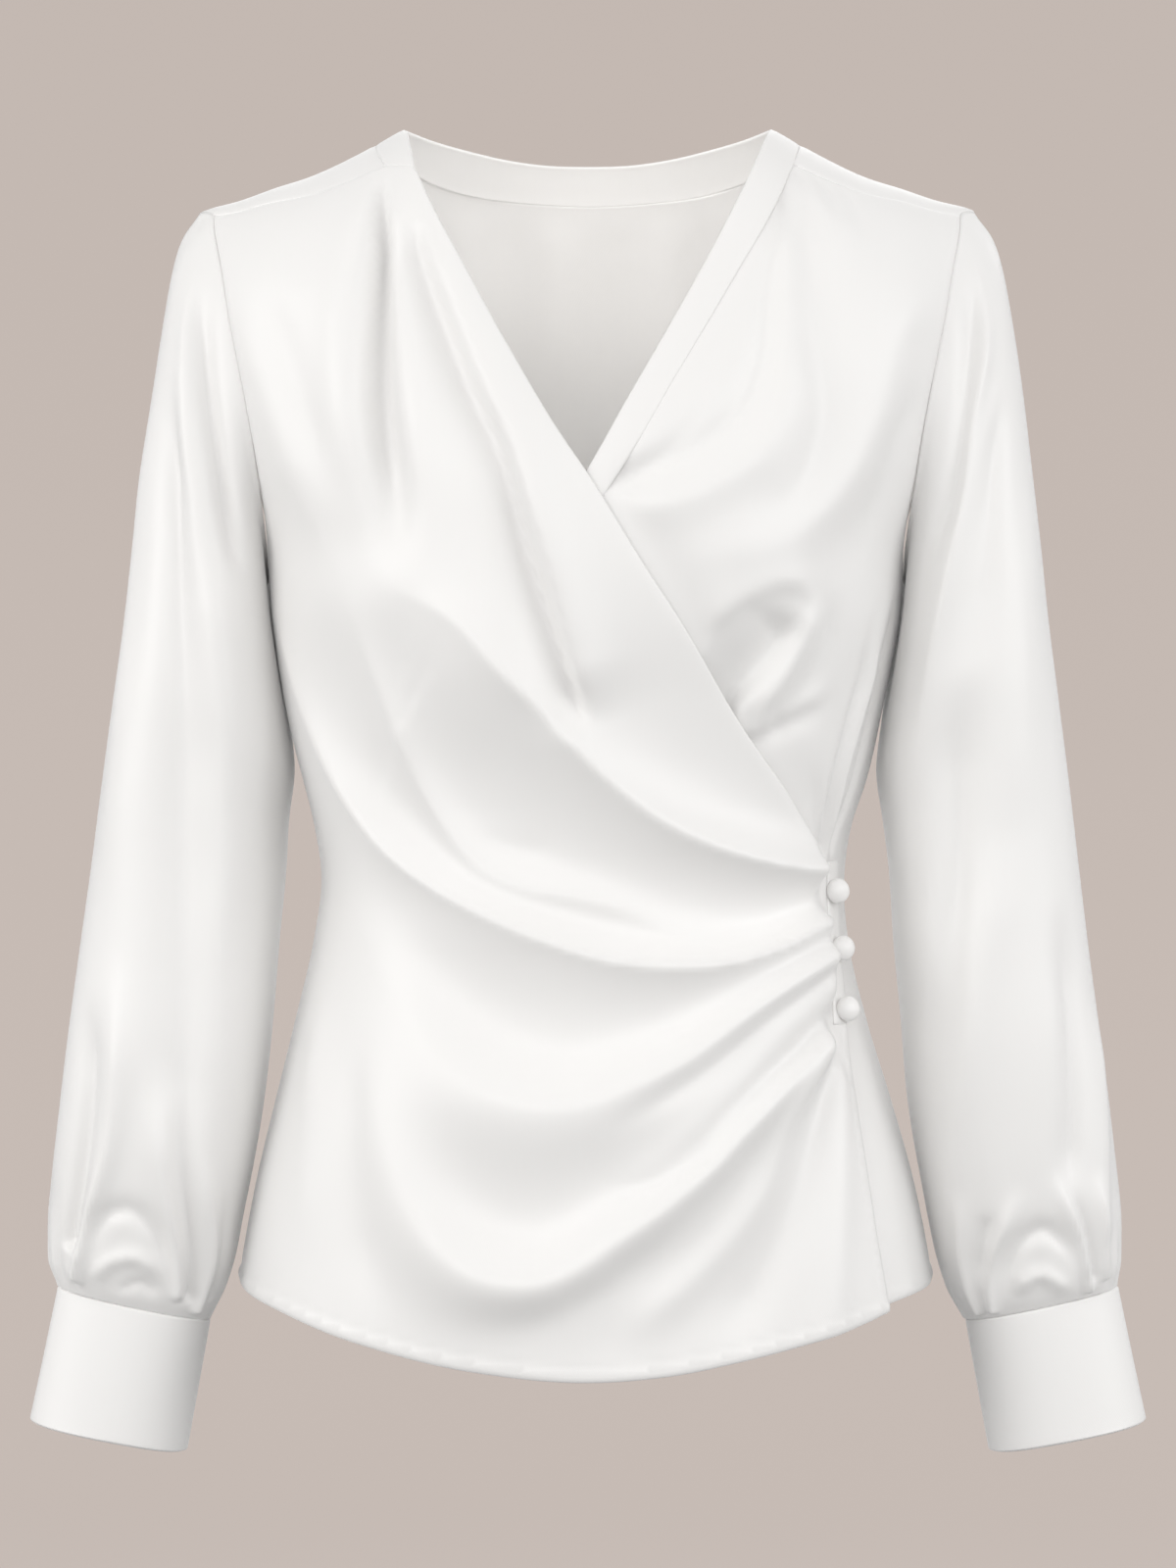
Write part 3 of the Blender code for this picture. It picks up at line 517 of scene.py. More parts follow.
# The wrap: the wearer's right front, drawn across to the buttons in swags
wrap = {"seam": 0.16, "step": 3.3, "thick": 1.0, "edgeDip": 0.45, "flat": (0.56, 0.66), "slack": 0.35,
        "seed": 3, "closureHold": 9.0, "shoulderHold": 12.0, "cornerHold": 26.0, "hemRoll": 0.8,
        "slitRoll": 0.6}
wrapHem = ((-240, -603), (-205, -608), (-163.9, -613.6), (-108, -626.4), (-50, -638.7), (0, -643.4),
           (33.6, -640.8), (69, -634), (110, -625.1), (156.8, -614.1))
bustSwag = (-114, -264, -83, -270, -62, -281, -44, -300, -27, -317, -12, -333, 4, -349, 22, -363,
            42, -375, 67, -385, 98, -393, 134, -398, 170, -398)
waistSwag = (-222, -232, -208, -262, -189, -296, -169, -327, -148, -356, -121, -385, -91, -406, -56, -423,
             -22, -435, 11, -444, 46, -447, 76, -446, 111, -439, 148, -428, 178, -422)
wrapCreases = (
    (-14, 2.3, 2.2, 2, 2.3, 6, 0.27, 0.3, (-82, -47, -84, -82, -86, -124, -89, -159, -94, -207,
        -99, -262)),
    (1.8, 7, 8, 2, 2, 1.6, 0.2, 0.4, (-96, -62, -103, -110, -110, -160, -116, -215)),
    (-2.4, 11, 13, 2, 2, 1, 0.3, 0.4, (-151, -86, -136, -147, -132, -200, -127, -226)),
    (1.8, 16, 12, 1.8, 1.8, 1.2, 0.3, 0.3, (-168, -90, -158, -163, -149, -219, -134, -252, -114, -264)),
    (2.4, 9, 10, 2, 2, 1.2, 0.3, 0.4, (-101, -85, -109, -167, -120, -226)),
    (2.4, 8, 9, 2, 2, 1.2, 0.3, 0.4, (-71, -102, -76, -175, -80, -229)),
    (-10.5, 4, 9, 1.3, 1.6, 1.3, 0.12, 0.08, (-71, -84, -68, -104, -57, -147, -47, -181, -36, -210,
        -30, -240, -19, -277, -10, -307, -2, -335)),
    (9.4, 13, 5, 1.6, 1.3, 1.5, 0.2, 0.12, (-74, -79, -58, -131, -44, -175, -32, -211, -22, -244,
        -13, -277, -6, -302, 3, -330)),
    (-1.3, 6, 6, 1.6, 1.6, 1.2, 0.2, 0.5, (-76, -73, -60, -112, -48, -144, -36, -178, -21, -211,
        -7, -242)),
    (12.5, 36, 50, 1.5, 1.6, 0.25, 0.3, 0.06, bustSwag),
    (4.2, 9, 10, 1.25, 1.1, 0.5, 0.3, 0.06, bustSwag),
    (7, 14, 11, 1.6, 1.3, 0.6, 0.25, 0.45, (-129, -259, -120, -288, -110, -314, -102, -337, -93, -358,
        -79, -380, -60, -398, -36, -408, -11, -413, 17, -419, 47, -428, 77, -432, 113, -430)),
    (13.5, 24, 52, 1.6, 1.6, 0.22, 0.5, 0.06, waistSwag),
    (4.6, 8, 10, 1.25, 1.1, 0.5, 0.45, 0.06, waistSwag),
    (17, 27, 52, 1.9, 1.9, 0.25, 0.5, 0.06, (-181, -402, -147, -428, -114, -456, -90, -479, -71, -495,
        -54, -506, -38, -512, -19, -515, 0, -513, 20, -506, 47, -495, 77, -478, 114, -460, 172, -438)),
    (-4.6, 7, 7, 1.7, 1.7, 0.5, 0.3, 0.1, (2, -529, 30, -513, 63, -495, 97, -474, 165, -446)),
    (4.6, 11, 8, 1.9, 1.6, 0.6, 0.3, 0.1, (2, -548, 28, -541, 48, -527, 78, -504, 115, -481, 168, -456)),
    (-2.2, 4, 4, 1.7, 1.7, 1, 0.3, 0.4, (8, -553, 25, -551, 42, -544, 58, -535, 78, -520)),
    (16.5, 27, 31, 1.9, 1.8, 0.22, 0.5, 0.06, (-161, -459, -121, -500, -94, -542, -78, -567, -67, -580,
        -52, -592, -34, -598, -21, -598, -4, -591, 13, -578, 36, -562, 56, -546, 74, -530, 101, -509,
        155, -475)),
    (-4, 14, 12, 1.8, 1.8, 0.4, 0.3, 0.1, (-70, -607, -51, -615, -25, -615, 0, -602, 22, -586, 45, -564,
        66, -546, 92, -523, 116, -500, 150, -480)),
    (4.2, 10, 11, 1.9, 1.9, 0.5, 0.2, 0.1, (10, -628, 39, -601, 63, -578, 86, -551, 103, -523, 131, -497,
        152, -480)),
    (-2.6, 11, 11, 2, 2, 0.5, 0.2, 0.1, (55, -630, 82, -593, 94, -575, 110, -547, 134, -508, 152, -486)),
    (3.2, 13, 12, 1.8, 1.8, 0.8, 0.2, 0.1, (110, -650, 117, -613, 127, -571, 141, -529, 158, -488)),
    (-2.6, 12, 12, 2, 2, 1, 0.3, 0.3, (-131, -472, -124, -514, -113, -556, -100, -593, -88, -616)),
    (1.6, 14, 14, 2, 2, 1, 0.3, 0.3, (-182, -454, -164, -502, -151, -548, -143, -595)),
    (2.2, 24, 22, 1.9, 1.9, 1, 0.4, 0.3, (-176, -252, -150, -262, -124, -268, -98, -268, -75, -272)),
    (-0.9, 6, 7, 1.6, 1.6, 1, 0.3, 0.4, (-57, -376, -54, -386, -39, -390, -14, -388)),
)


def wrapLift(flat):
    offSeam = offLine(flat, shoulderSeam(-1), wrap["shoulderHold"])
    held = offLine(flat, closureSeam, wrap["closureHold"])
    held = held * np.maximum(offSeam, 1 - offCorner(flat, wrap["cornerHold"]))
    folds = foldLift(flat, wrapCreases, wrap) * held
    return folds + turnedEdge(flat, wrapHem, wrap["hemRoll"]) + turnedEdge(flat, slitEdge, wrap["slitRoll"])


wrapOutline = joined(
    tracing(wrapHem), tracing(slitEdge)[::-1], straight(closureEdge[-1], closureSeam[-1]),
    tracing(closureSeam)[::-1], tracing(wrapEdge)[::-1], straight(wrapEdge[0], backNeck[0]),
    shoulderSeam(-1)[::-1], armholePart(-1, frontArmhole, seamShare, 1),
    straight((-sideSeam, -armpit), (-sideSeam, -603)))
wrapPiece, wrapArea = sewPanel("wrap_front", "front_right", wrapOutline, wrapLift, wrap)

# The wearer's left front, which runs on beneath the wrap
under = {"seam": 0.16, "step": 3.6, "thick": 1.0, "edgeDip": 0.45, "flat": (0.46, 0.66), "slack": 0.35,
         "seed": 5, "sink": 1.9, "shoulderHold": 5.0, "openPast": 3.0, "openFade": 18.0, "sideFade": 14.0,
         "hemRoll": 0.8}
underHem = ((-150, -612), (-108, -621), (-50, -633.5), (0, -638), (50, -633), (110, -619.5),
            (158, -611), (180, -608), (218, -605), (240, -601.5))
underCreases = (
    (-3.4, 6, 4, 1.6, 1.5, 1.3, 0.15, 0.06, (77, -60, 77, -92, 73, -123, 71, -162, 62, -190, 41, -208,
        15, -218, 4, -222)),
    (-1.8, 4, 4, 1.6, 1.6, 1, 0.4, 0.1, (53, -180, 42, -198, 28, -211, 13, -221)),
    (3.4, 13, 9, 1.7, 1.6, 1, 0.25, 0.06, (81, -80, 82, -102, 83, -144, 85, -179, 78, -201, 56, -220,
        29, -230, 6, -235)),
    (-4.2, 12, 9, 1.8, 1.7, 1.2, 0.12, 0.35, (86, -66, 90, -102, 95, -139, 108, -185, 102, -219,
        70, -238)),
    (3.6, 16, 17, 1.8, 1.8, 1.1, 0.2, 0.2, (166, -78, 139, -130, 136, -180, 127, -213, 106, -237,
        71, -248, 30, -250)),
    (-1.8, 12, 12, 2, 2, 1, 0.3, 0.4, (167, -141, 159, -180, 158, -213, 153, -239, 149, -259)),
    (3.4, 14, 7, 1.5, 1.3, 0.8, 0.2, 0.25, (44, -304, 50, -296, 64, -279, 88, -265, 105, -262, 118, -268,
        124, -276)),
    (-8, 22, 6, 1.7, 1.6, 0.7, 0.1, 0.22, (61, -334, 70, -325, 80, -315, 92, -303, 101, -293, 107, -283,
        110, -275)),
    (3.6, 6, 10, 1.7, 1.8, 1, 0.25, 0.15, (121, -264, 120, -276, 118, -285, 113, -295, 105, -309,
        93, -323, 83, -336)),
    (-2, 8, 7, 1.8, 1.8, 1, 0.3, 0.1, (136, -262, 131, -292, 120, -314, 100, -333)),
    (-2.6, 4.5, 6, 1.4, 1.6, 1.3, 0.02, 0.5, (84, -342, 111, -331, 131, -324, 152, -316)),
    (1.8, 6, 4, 1.7, 1.5, 1, 0.1, 0.4, (90, -334, 110, -325, 129, -317, 144, -311)),
    (-3.6, 5, 5, 1.6, 1.6, 0.8, 0.3, 0.05, (168, -276, 171, -306, 166, -330, 163, -354, 170, -378,
        178, -396)),
    (2.4, 5, 5, 1.6, 1.6, 0.8, 0.3, 0.05, (180, -276, 181, -306, 175, -330, 171, -354, 177, -378,
        183, -396)),
    (-3.2, 4.5, 5, 1.6, 1.6, 0.8, 0.3, 0.05, (206, -256, 197, -291, 196, -320, 192, -349, 192, -378,
        188, -396)),
    (-1.4, 5, 5, 1.5, 1.5, 0.6, 0.3, 0.05, (137, -350, 160, -380, 174, -394)),
    (-1.5, 3.5, 3.5, 1.6, 1.6, 2, 0.15, 0.5, (84, -50, 88, -70, 95, -90)),
    (-1.5, 3.5, 3.5, 1.6, 1.6, 2, 0.15, 0.5, (90, -43, 100, -60, 105, -80)),
    (-1.2, 3.5, 3.5, 1.6, 1.6, 2, 0.15, 0.5, (99, -40, 110, -56, 117, -82)),
)


def underLift(flat):
    openPart = smooth((beside(flat, wrapLine())[0] - under["openPast"]) / under["openFade"])
    folds = foldLift(flat, underCreases, under) * offLine(flat, shoulderSeam(1), under["shoulderHold"])
    folds = (np.minimum(folds, 0) + np.maximum(folds, 0) * openPart) * towardSide(flat, under["sideFade"])
    return folds + beneathWrap(flat, under["sink"]) + turnedEdge(flat, underHem, under["hemRoll"])


underOutline = joined(
    tracing(underHem), straight((sideSeam, -601.5), (sideSeam, -armpit)),
    armholePart(1, frontArmhole, seamShare, 1)[::-1], shoulderSeam(1), tracing(leftNeck),
    straight(leftNeck[-1], underHem[0]))
underPiece, underArea = sewPanel("under_front", "front_left", underOutline, underLift, under)

# The back, which comes over the shoulders to the front seams
back = {"seam": 0.16, "step": 4.6, "thick": 1.0, "edgeDip": 0.45, "flat": (0.50, 0.72), "slack": 0.6,
        "seed": 7, "sideFade": 20.0, "hemRoll": 0.8}
backHem = ((-240, 603), (-200, 612), (-120, 624), (0, 630), (120, 624), (200, 611), (240, 601.5))
backCreases = (
    (-1.6, 7, 7, 2, 2, 1.6, 0.15, 0.5, (-52, 78, -56, 130, -62, 200)),
    (1.5, 8, 8, 2, 2, 1.5, 0.15, 0.5, (-30, 88, -32, 140, -36, 205)),
    (-1.5, 7, 7, 2, 2, 1.5, 0.15, 0.5, (-12, 94, -13, 140, -16, 190)),
    (1.4, 9, 9, 2, 2, 1.4, 0.15, 0.5, (10, 94, 12, 145, 14, 200)),
    (-1.5, 7, 7, 2, 2, 1.5, 0.15, 0.5, (31, 88, 36, 135, 40, 190)),
    (1.5, 8, 8, 2, 2, 1.5, 0.15, 0.5, (50, 80, 56, 130, 62, 195)),
    (3, 24, 24, 2, 2, 1, 0.25, 0.25, (-70, 110, -92, 200, -96, 300, -84, 390)),
    (3, 24, 24, 2, 2, 1, 0.25, 0.25, (72, 112, 96, 205, 98, 310, 88, 395)),
    (4, 18, 26, 2, 2, 0.7, 0.25, 0.1, (-205, 300, -120, 352, -20, 372, 90, 378, 200, 400)),
    (4, 16, 28, 2, 2, 0.7, 0.25, 0.1, (-190, 400, -90, 432, 10, 440, 110, 430, 205, 418)),
    (3.5, 26, 26, 2, 2, 1.3, 0.25, 0.1, (-120, 470, -132, 540, -138, 606)),
    (3.5, 26, 26, 2, 2, 1.3, 0.25, 0.1, (-10, 470, -6, 540, -4, 612)),
    (3.5, 26, 26, 2, 2, 1.3, 0.25, 0.1, (118, 470, 130, 540, 136, 604)),
)


def backLift(flat):
    folds = foldLift(flat, backCreases, back) * towardSide(flat, back["sideFade"])
    return folds + turnedEdge(flat, backHem, back["hemRoll"])


backOutline = joined(
    tracing(backHem), straight((sideSeam, 601.5), (sideSeam, armpit)),
    armholePart(1, backArmhole, 0, 1), armholePart(1, frontArmhole, 0, seamShare),
    shoulderSeam(1), tracing(backNeck)[::-1], shoulderSeam(-1)[::-1],
    armholePart(-1, frontArmhole, 0, seamShare)[::-1], armholePart(-1, backArmhole, 0, 1)[::-1],
    straight((-sideSeam, armpit), (-sideSeam, 603)))
backPiece, backArea = sewPanel("back_panel", "back", backOutline, backLift, back)

# The neckband, round the back neck and down the wearer's left side to beneath the wrap
band = {"seam": 0.16, "step": 3.0, "thick": 1.4, "edgeDip": 0.4, "flat": (0.03, 0.82), "rise": 0.25,
        "sink": 1.9, "sinkBelow": -150, "sinkFade": 40}
bandEdgeBack = ((-68.5, -65.5), (-72, -30), (-73.3, 0), (-63.3, 31.3), (-47.4, 52), (-31.5, 64),
                (-15.7, 70.4), (0, 72.2), (15.7, 70.4), (31.5, 64), (47.4, 52), (63.3, 31.3), (73.3, 0),
                (72, -30), (69, -50.3))
bandEdgeLeft = ((69, -50.3), (65.1, -68.4), (51.5, -111.1), (34.9, -149.3), (17.7, -183.3),
                (0, -214.3), (-24, -246), (-57, -290), (-97, -335), (-146, -371))


def bandLift(flat):
    hidden = smooth((band["sinkBelow"] - flat[:, 1]) / band["sinkFade"])
    return band["rise"] * offCorner(flat, seamDip["cornerReach"]) + beneathWrap(flat, band["sink"]) * hidden


bandOutline = joined(
    tracing(backNeck), tracing(leftNeck), straight(leftNeck[-1], bandEdgeLeft[-1]),
    tracing(bandEdgeLeft)[::-1], tracing(bandEdgeBack)[::-1], straight(bandEdgeBack[0], backNeck[0]))
bandPiece, bandArea = sewPanel("neck_band", "neckband", bandOutline, bandLift, band)

# The closure strip that the buttons stand on
strip = {"seam": 0.16, "step": 2.4, "thick": 1.2, "edgeDip": 0.3, "flat": (0.02, 0.085), "rise": 0.6}


def stripLift(flat):
    return np.full(len(flat), strip["rise"])


stripOutline = joined(
    tracing(closureEdge, 2.4), straight(closureEdge[-1], closureSeam[-1], 2.4),
    tracing(closureSeam, 2.4)[::-1], straight(closureSeam[0], closureEdge[0], 2.4))
stripPiece, stripArea = sewPanel("closure_strip", "placket", stripOutline, stripLift, strip)

# Sleeves, from the shoulder down. Turns run in degrees from the outer side over the front.
sleeve = {"around": 168, "down": 176, "headRows": 48, "headSteps": 121, "headFlare": 0.33, "headLeave": 0.5,
          "headArrive": 2.9, "headGap": 0.25, "thick": 1.0, "fullness": 0.10,
          "clear": 1.6, "clearSoft": 6.0, "clearFade": 6.0,
          "outerSide": (-0.75, 0.5), "innerSide": (0.35, -0.6), "underside": (-0.1, -0.8),
          "girth": 330.0, "length": 545.0, "flat": (0.40, 0.58), "cutShare": 0.78,
          "foldsFrom": 165, "foldsOver": 30, "tuck": 0.5, "tuckDown": 0.15}
gather = {"count": 26, "scatter": 0.28, "height": 2.6, "uneven": (0.5, 1.2), "reach": (0.10, 0.26),
          "width": 4.2, "flare": 9.0, "calm": 0.85, "calmTurn": 95, "calmSpread": 45, "hold": 0.035,
          "seeds": {"right": 11, "left": 12}}
sleeveOuter = columns("height right left", (
    (-122.5, 217, 217), (-162, 221.5, 221.5), (-201, 225.5, 226), (-240, 230.5, 230), (-279, 237, 235),
    (-318.5, 242.5, 240), (-358, 247.5, 244.5), (-397, 252.8, 249), (-436, 258, 254), (-475, 262.6, 259),
    (-514.5, 266.4, 262.6), (-534, 266.6, 263.8), (-554, 265.6, 263.6), (-568, 263.4, 263),
))
sleeveInner = columns("height right left", (
    (-215, 160, 158.5), (-232, 154, 152), (-250, 151, 149), (-270, 149, 147), (-290, 147, 145),
    (-308, 146, 143.5), (-338, 149.5, 147.5), (-358, 150.5, 150), (-397, 154, 152.5), (-436, 157, 156),
    (-475, 161, 159), (-514, 167, 165), (-534, 171.5, 169), (-554, 176, 174), (-573, 183, 181),
    (-584.5, 188, 187),
))
sleeveRings = columns("outer inner front back middle", (
    (-142, -241, 58, 49, 0), (-180, -253, 60, 52, 0), (-220, -270, 61, 54, 0), (-262, -294, 60, 55, -1),
    (-306, -326, 58, 54, -1), (-352, -364, 56, 53, -2), (-399, -407, 55, 52, -4),
    (-445, -451, 54, 51, -6), (-486, -491, 50, 50, -8), (-517, -524, 45.5, 48, -9),
    (-538, -549, 40, 43, -10), (-553, -567, 34.5, 35, -11), (-562, -578, 30, 28.5, -12),
    (-568, -584.5, 26, 26, -12),
))
sleeveCreases = {  # as the panels' rows, with the line in turns and in share of the way down
    "both": (
        (3, 20, 20, 2, 2, 1, 0.25, 0.1, (206, 0.15, 210, 0.55, 216, 0.95)),
        (3, 16, 16, 2, 2, 1, 0.25, 0.1, (266, 0.22, 260, 0.55, 252, 0.9)),
        (3, 18, 18, 2, 2, 1, 0.25, 0.1, (322, 0.12, 318, 0.55, 312, 0.95)),
    ),
    "right": (
        (3, 6, 7, 1.6, 1.6, 1.8, 0.25, 0.5, (26, 0.014, 39, 0.036, 52, 0.062, 66, 0.11, 78, 0.17,
            86, 0.24)),
        (-6.5, 6, 8, 1.9, 1.9, 2, 0.25, 0.4, (34, 0.02, 54, 0.036, 74, 0.058, 92, 0.085, 108, 0.13,
            116, 0.19)),
        (-7.5, 13, 13, 1.9, 1.9, 1.2, 0.12, 0.12, (47, 0.08, 62, 0.18, 74, 0.284, 84, 0.393, 92, 0.532,
            100, 0.674, 104, 0.76, 108, 0.84)),
        (2.4, 13, 13, 1.9, 1.9, 1.2, 0.2, 0.3, (26, 0.1, 21, 0.213, 28, 0.305, 41, 0.41, 49, 0.532,
            56, 0.62)),
        (3, 10, 12, 1.7, 1.9, 1.1, 0.15, 0.3, (92, 0.17, 101, 0.3, 111, 0.45, 119, 0.6, 124, 0.72)),
        (5.5, 9, 8, 1.6, 1.6, 0.5, 0.35, 0.04, (60, 0.62, 69, 0.752, 69, 0.829, 62, 0.9, 50, 0.99)),
        (-4.8, 9, 9, 1.8, 1.8, 0.6, 0.3, 0.05, (42, 0.66, 51, 0.76, 52, 0.86, 46, 0.95)),
        (-4.5, 7, 7, 1.8, 1.8, 0.6, 0.3, 0.05, (104, 0.76, 111, 0.86, 121, 0.92, 131, 0.985)),
        (4.2, 8, 8, 1.6, 1.6, 0.5, 0.35, 0.04, (90, 0.72, 95, 0.8, 101, 0.86, 111, 0.92, 123, 0.985)),
        (4.5, 7, 7, 1.5, 1.5, 0.6, 0.35, 0.04, (118, 0.82, 128, 0.875, 139, 0.935, 141, 0.995)),
        (-2.8, 5, 5, 1.6, 1.6, 0.7, 0.35, 0.04, (140, 0.86, 149, 0.92, 154, 0.98)),
        (-3, 4.5, 7, 1.5, 1.8, 1, 0.3, 0.3, (57, 0.955, 64, 0.925, 72, 0.9, 83, 0.893, 95, 0.908,
            106, 0.94, 116, 0.975)),
        (2.8, 6, 5, 1.8, 1.6, 1, 0.3, 0.3, (62, 0.99, 68, 0.965, 79, 0.947, 90, 0.941, 101, 0.952,
            108, 0.975)),
        (-1.2, 4, 4, 1.8, 1.8, 1, 0.3, 0.3, (81, 0.99, 88, 0.975, 97, 0.97, 106, 0.985)),
    ),
    "left": (
        (2.4, 5, 6, 1.6, 1.6, 1.5, 0.3, 0.4, (28, 0.014, 40, 0.03, 55, 0.05, 66, 0.07)),
        (-5, 5, 6, 1.8, 1.8, 2.4, 0.2, 0.35, (32, 0.02, 46, 0.03, 62, 0.044, 80, 0.07, 96, 0.11,
            110, 0.16)),
        (5, 7, 9, 1.6, 1.4, 1.6, 0.12, 0.3, (36, 0.04, 56, 0.055, 76, 0.075, 90, 0.12, 103, 0.185,
            114, 0.25, 124, 0.33, 138, 0.42, 155, 0.52)),
        (-3.4, 10, 10, 1.9, 1.9, 1.5, 0.2, 0.4, (52, 0.09, 70, 0.16, 86, 0.26, 93, 0.33)),
        (1.8, 13, 13, 1.9, 1.9, 1.2, 0.3, 0.3, (30, 0.16, 48, 0.26, 64, 0.4, 72, 0.5)),
        (-7, 13, 13, 1.9, 1.9, 1, 0.25, 0.2, (93, 0.3, 103, 0.41, 111, 0.49, 120, 0.57, 134, 0.66,
            146, 0.76)),
        (3.2, 11, 12, 1.8, 1.8, 1, 0.25, 0.15, (84, 0.48, 94, 0.58, 107, 0.68, 121, 0.77, 136, 0.85,
            142, 0.9)),
        (-4.6, 10, 9, 1.8, 1.8, 0.8, 0.3, 0.2, (50, 0.56, 50, 0.684, 56, 0.77, 63, 0.85, 65, 0.89)),
        (2.6, 9, 9, 1.8, 1.8, 0.8, 0.3, 0.15, (22, 0.66, 32, 0.79, 40, 0.88, 42, 0.95)),
        (4.2, 6, 6, 1.5, 1.5, 0.6, 0.3, 0.04, (130, 0.86, 133, 0.9, 137, 0.94, 139, 0.995)),
        (-3, 6, 6, 1.7, 1.7, 1, 0.35, 0.3, (130, 0.965, 122, 0.93, 116, 0.905, 108, 0.89)),
        (4, 6, 5, 1.6, 1.5, 0.6, 0.4, 0.04, (92, 0.86, 103, 0.9, 114, 0.935, 121, 0.965, 128, 0.995)),
        (-3.4, 7, 4.5, 1.8, 1.5, 1, 0.3, 0.3, (112, 0.985, 106, 0.95, 96, 0.925, 84, 0.915, 74, 0.93,
            66, 0.965)),
        (2.8, 5, 6, 1.6, 1.8, 1, 0.3, 0.3, (106, 0.985, 99, 0.966, 89, 0.96, 78, 0.974, 70, 0.996)),
        (4.2, 5, 5, 1.5, 1.5, 0.6, 0.4, 0.04, (78, 0.85, 70, 0.88, 63, 0.93, 57, 0.995)),
        (-2.8, 4, 4, 1.6, 1.6, 0.6, 0.35, 0.1, (66, 0.86, 61, 0.9, 56, 0.94, 54, 0.985)),
        (3.4, 5, 5, 1.5, 1.5, 0.6, 0.35, 0.04, (46, 0.85, 45, 0.915, 41, 0.985)),
    ),
}


def loopsOf(turn, *measures):  # a tube's rings
    measures = (measure[:, None] for measure in measures)
    outerX, outerHeight, innerX, innerHeight, front, back, middle = measures
    wide = np.cos(turn) * (1 + sleeve["fullness"] * np.sin(turn) ** 2)
    deep = np.sin(turn) * (1 + sleeve["fullness"] * np.cos(turn) ** 2)
    x = (outerX + innerX) / 2 + (outerX - innerX) / 2 * wide
    y = middle - np.where(deep > 0, front, back) * deep
    height = (outerHeight + innerHeight) / 2 + (outerHeight - innerHeight) / 2 * wide
    return np.stack([x, y, height], axis=-1)


def turnsOf(count):
    return np.arange(count) * 2 * np.pi / count


def finer(rows, count):  # the table's rows with smooth rows put between them
    at = np.linspace(0, len(rows["front"]) - 1, count)
    return {name: spline(at, np.arange(len(values), dtype=float), values) for name, values in rows.items()}


def onSide(turn, start, over):  # 0 to 1 around a sleeve, by the cosine of its turns
    return smooth((np.cos(turn) - start) / over)


def sleeveForm(side, hand):
    rows = finer(sleeveRings, sleeve["down"] - sleeve["headRows"])
    outerX = side * spline(rows["outer"], sleeveOuter["height"], sleeveOuter[hand])
    innerX = side * spline(rows["inner"], sleeveInner["height"], sleeveInner[hand])
    turn = turnsOf(sleeve["around"])
    loops = loopsOf(turn, outerX, rows["outer"], innerX, rows["inner"],
                    rows["front"], rows["back"], rows["middle"])
    hole = onForm(armholeRing(side, sleeve["around"]))
    return clearOfBody(np.concatenate([sleeveHead(hole, loops, side, turn), loops]), hole, side)


def sleeveHead(hole, loops, side, turn):  # rounded from the armhole seam to the first full ring
    chord = loops[0] - hole
    reach = np.linalg.norm(chord, axis=1, keepdims=True)
    high = (0.5 + 0.5 * np.cos(turn))[:, None]
    leave = unit(unit(chord) + [side * sleeve["headFlare"], 0, 0]) * reach * sleeve["headLeave"]
    arrive = unit(loops[1] - loops[0]) * reach * (1.0 + (sleeve["headArrive"] - 1.0) * high ** 2)
    u = np.linspace(0, 1, sleeve["headSteps"])[:, None, None]
    rise = u * u * (3 - 2 * u)
    curve = hole + (loops[0] - hole) * rise + leave * u * (1 - u) ** 2 - arrive * u * u * (1 - u)
    steps = np.linalg.norm(np.diff(curve, axis=0), axis=2)
    places = np.vstack([np.zeros(len(turn)), np.cumsum(steps, axis=0)])
    head = np.empty((sleeve["headRows"], len(turn), 3))
    for number in range(len(turn)):
        at = np.linspace(0, places[-1, number], sleeve["headRows"] + 1)[:-1]
        for part in range(3):
            head[:, number, part] = np.interp(at, places[:, number], curve[:, number, part])
    return head


def clearOfBody(loops, hole, side):  # pushed out sideways where a ring would press into the body
    shares = np.linspace(0, 1, 400)
    sideways, depth = formSection(shares)
    x, y, height = loops[1:].transpose(2, 0, 1)
    reach = np.where(y < 0, formLevel(height, "front"), formLevel(height, "back"))
    share = np.interp(-np.abs(y) / reach, -depth, shares)
    edge = formHalf(height, np.full_like(x, side)) * np.interp(share, shares, sideways)
    wanted, found = edge + sleeve["clear"], np.abs(x)
    pushed = (wanted + found + np.sqrt((wanted - found) ** 2 + sleeve["clearSoft"])) / 2
    below = smooth((hole[None, :, 2] - height) / sleeve["clearFade"]) * (np.abs(y) < reach)
    below = below * onSide(turnsOf(sleeve["around"]), *sleeve["innerSide"])
    loops[1:, :, 0] = side * (found + (pushed - found) * below)
    return loops


def ringFaces(rings, count):  # four-sided faces between rings of points, one ring after another
    return [(low + at, low + (at + 1) % count, low + count + (at + 1) % count, low + count + at)
            for low in range(0, (rings - 1) * count, count) for at in range(count)]


def tubeNormals(loops):
    around = np.roll(loops, -1, axis=1) - np.roll(loops, 1, axis=1)
    normal = unit(np.cross(around, np.gradient(loops, axis=0)))
    return normal * np.sign(np.sum(normal * (loops - loops.mean(axis=1, keepdims=True))))


def sleeveFlat(loops):  # each point as turn and share of the way down, in millimetres of cloth
    length = np.linalg.norm(np.diff(loops.mean(axis=1), axis=0), axis=1)
    down = np.concatenate([[0], np.cumsum(length)]) / length.sum()
    turn = turnsOf(sleeve["around"]) / (2 * np.pi) * sleeve["girth"]
    return np.stack(np.meshgrid(turn, down * sleeve["length"]), axis=-1).reshape(-1, 2), down


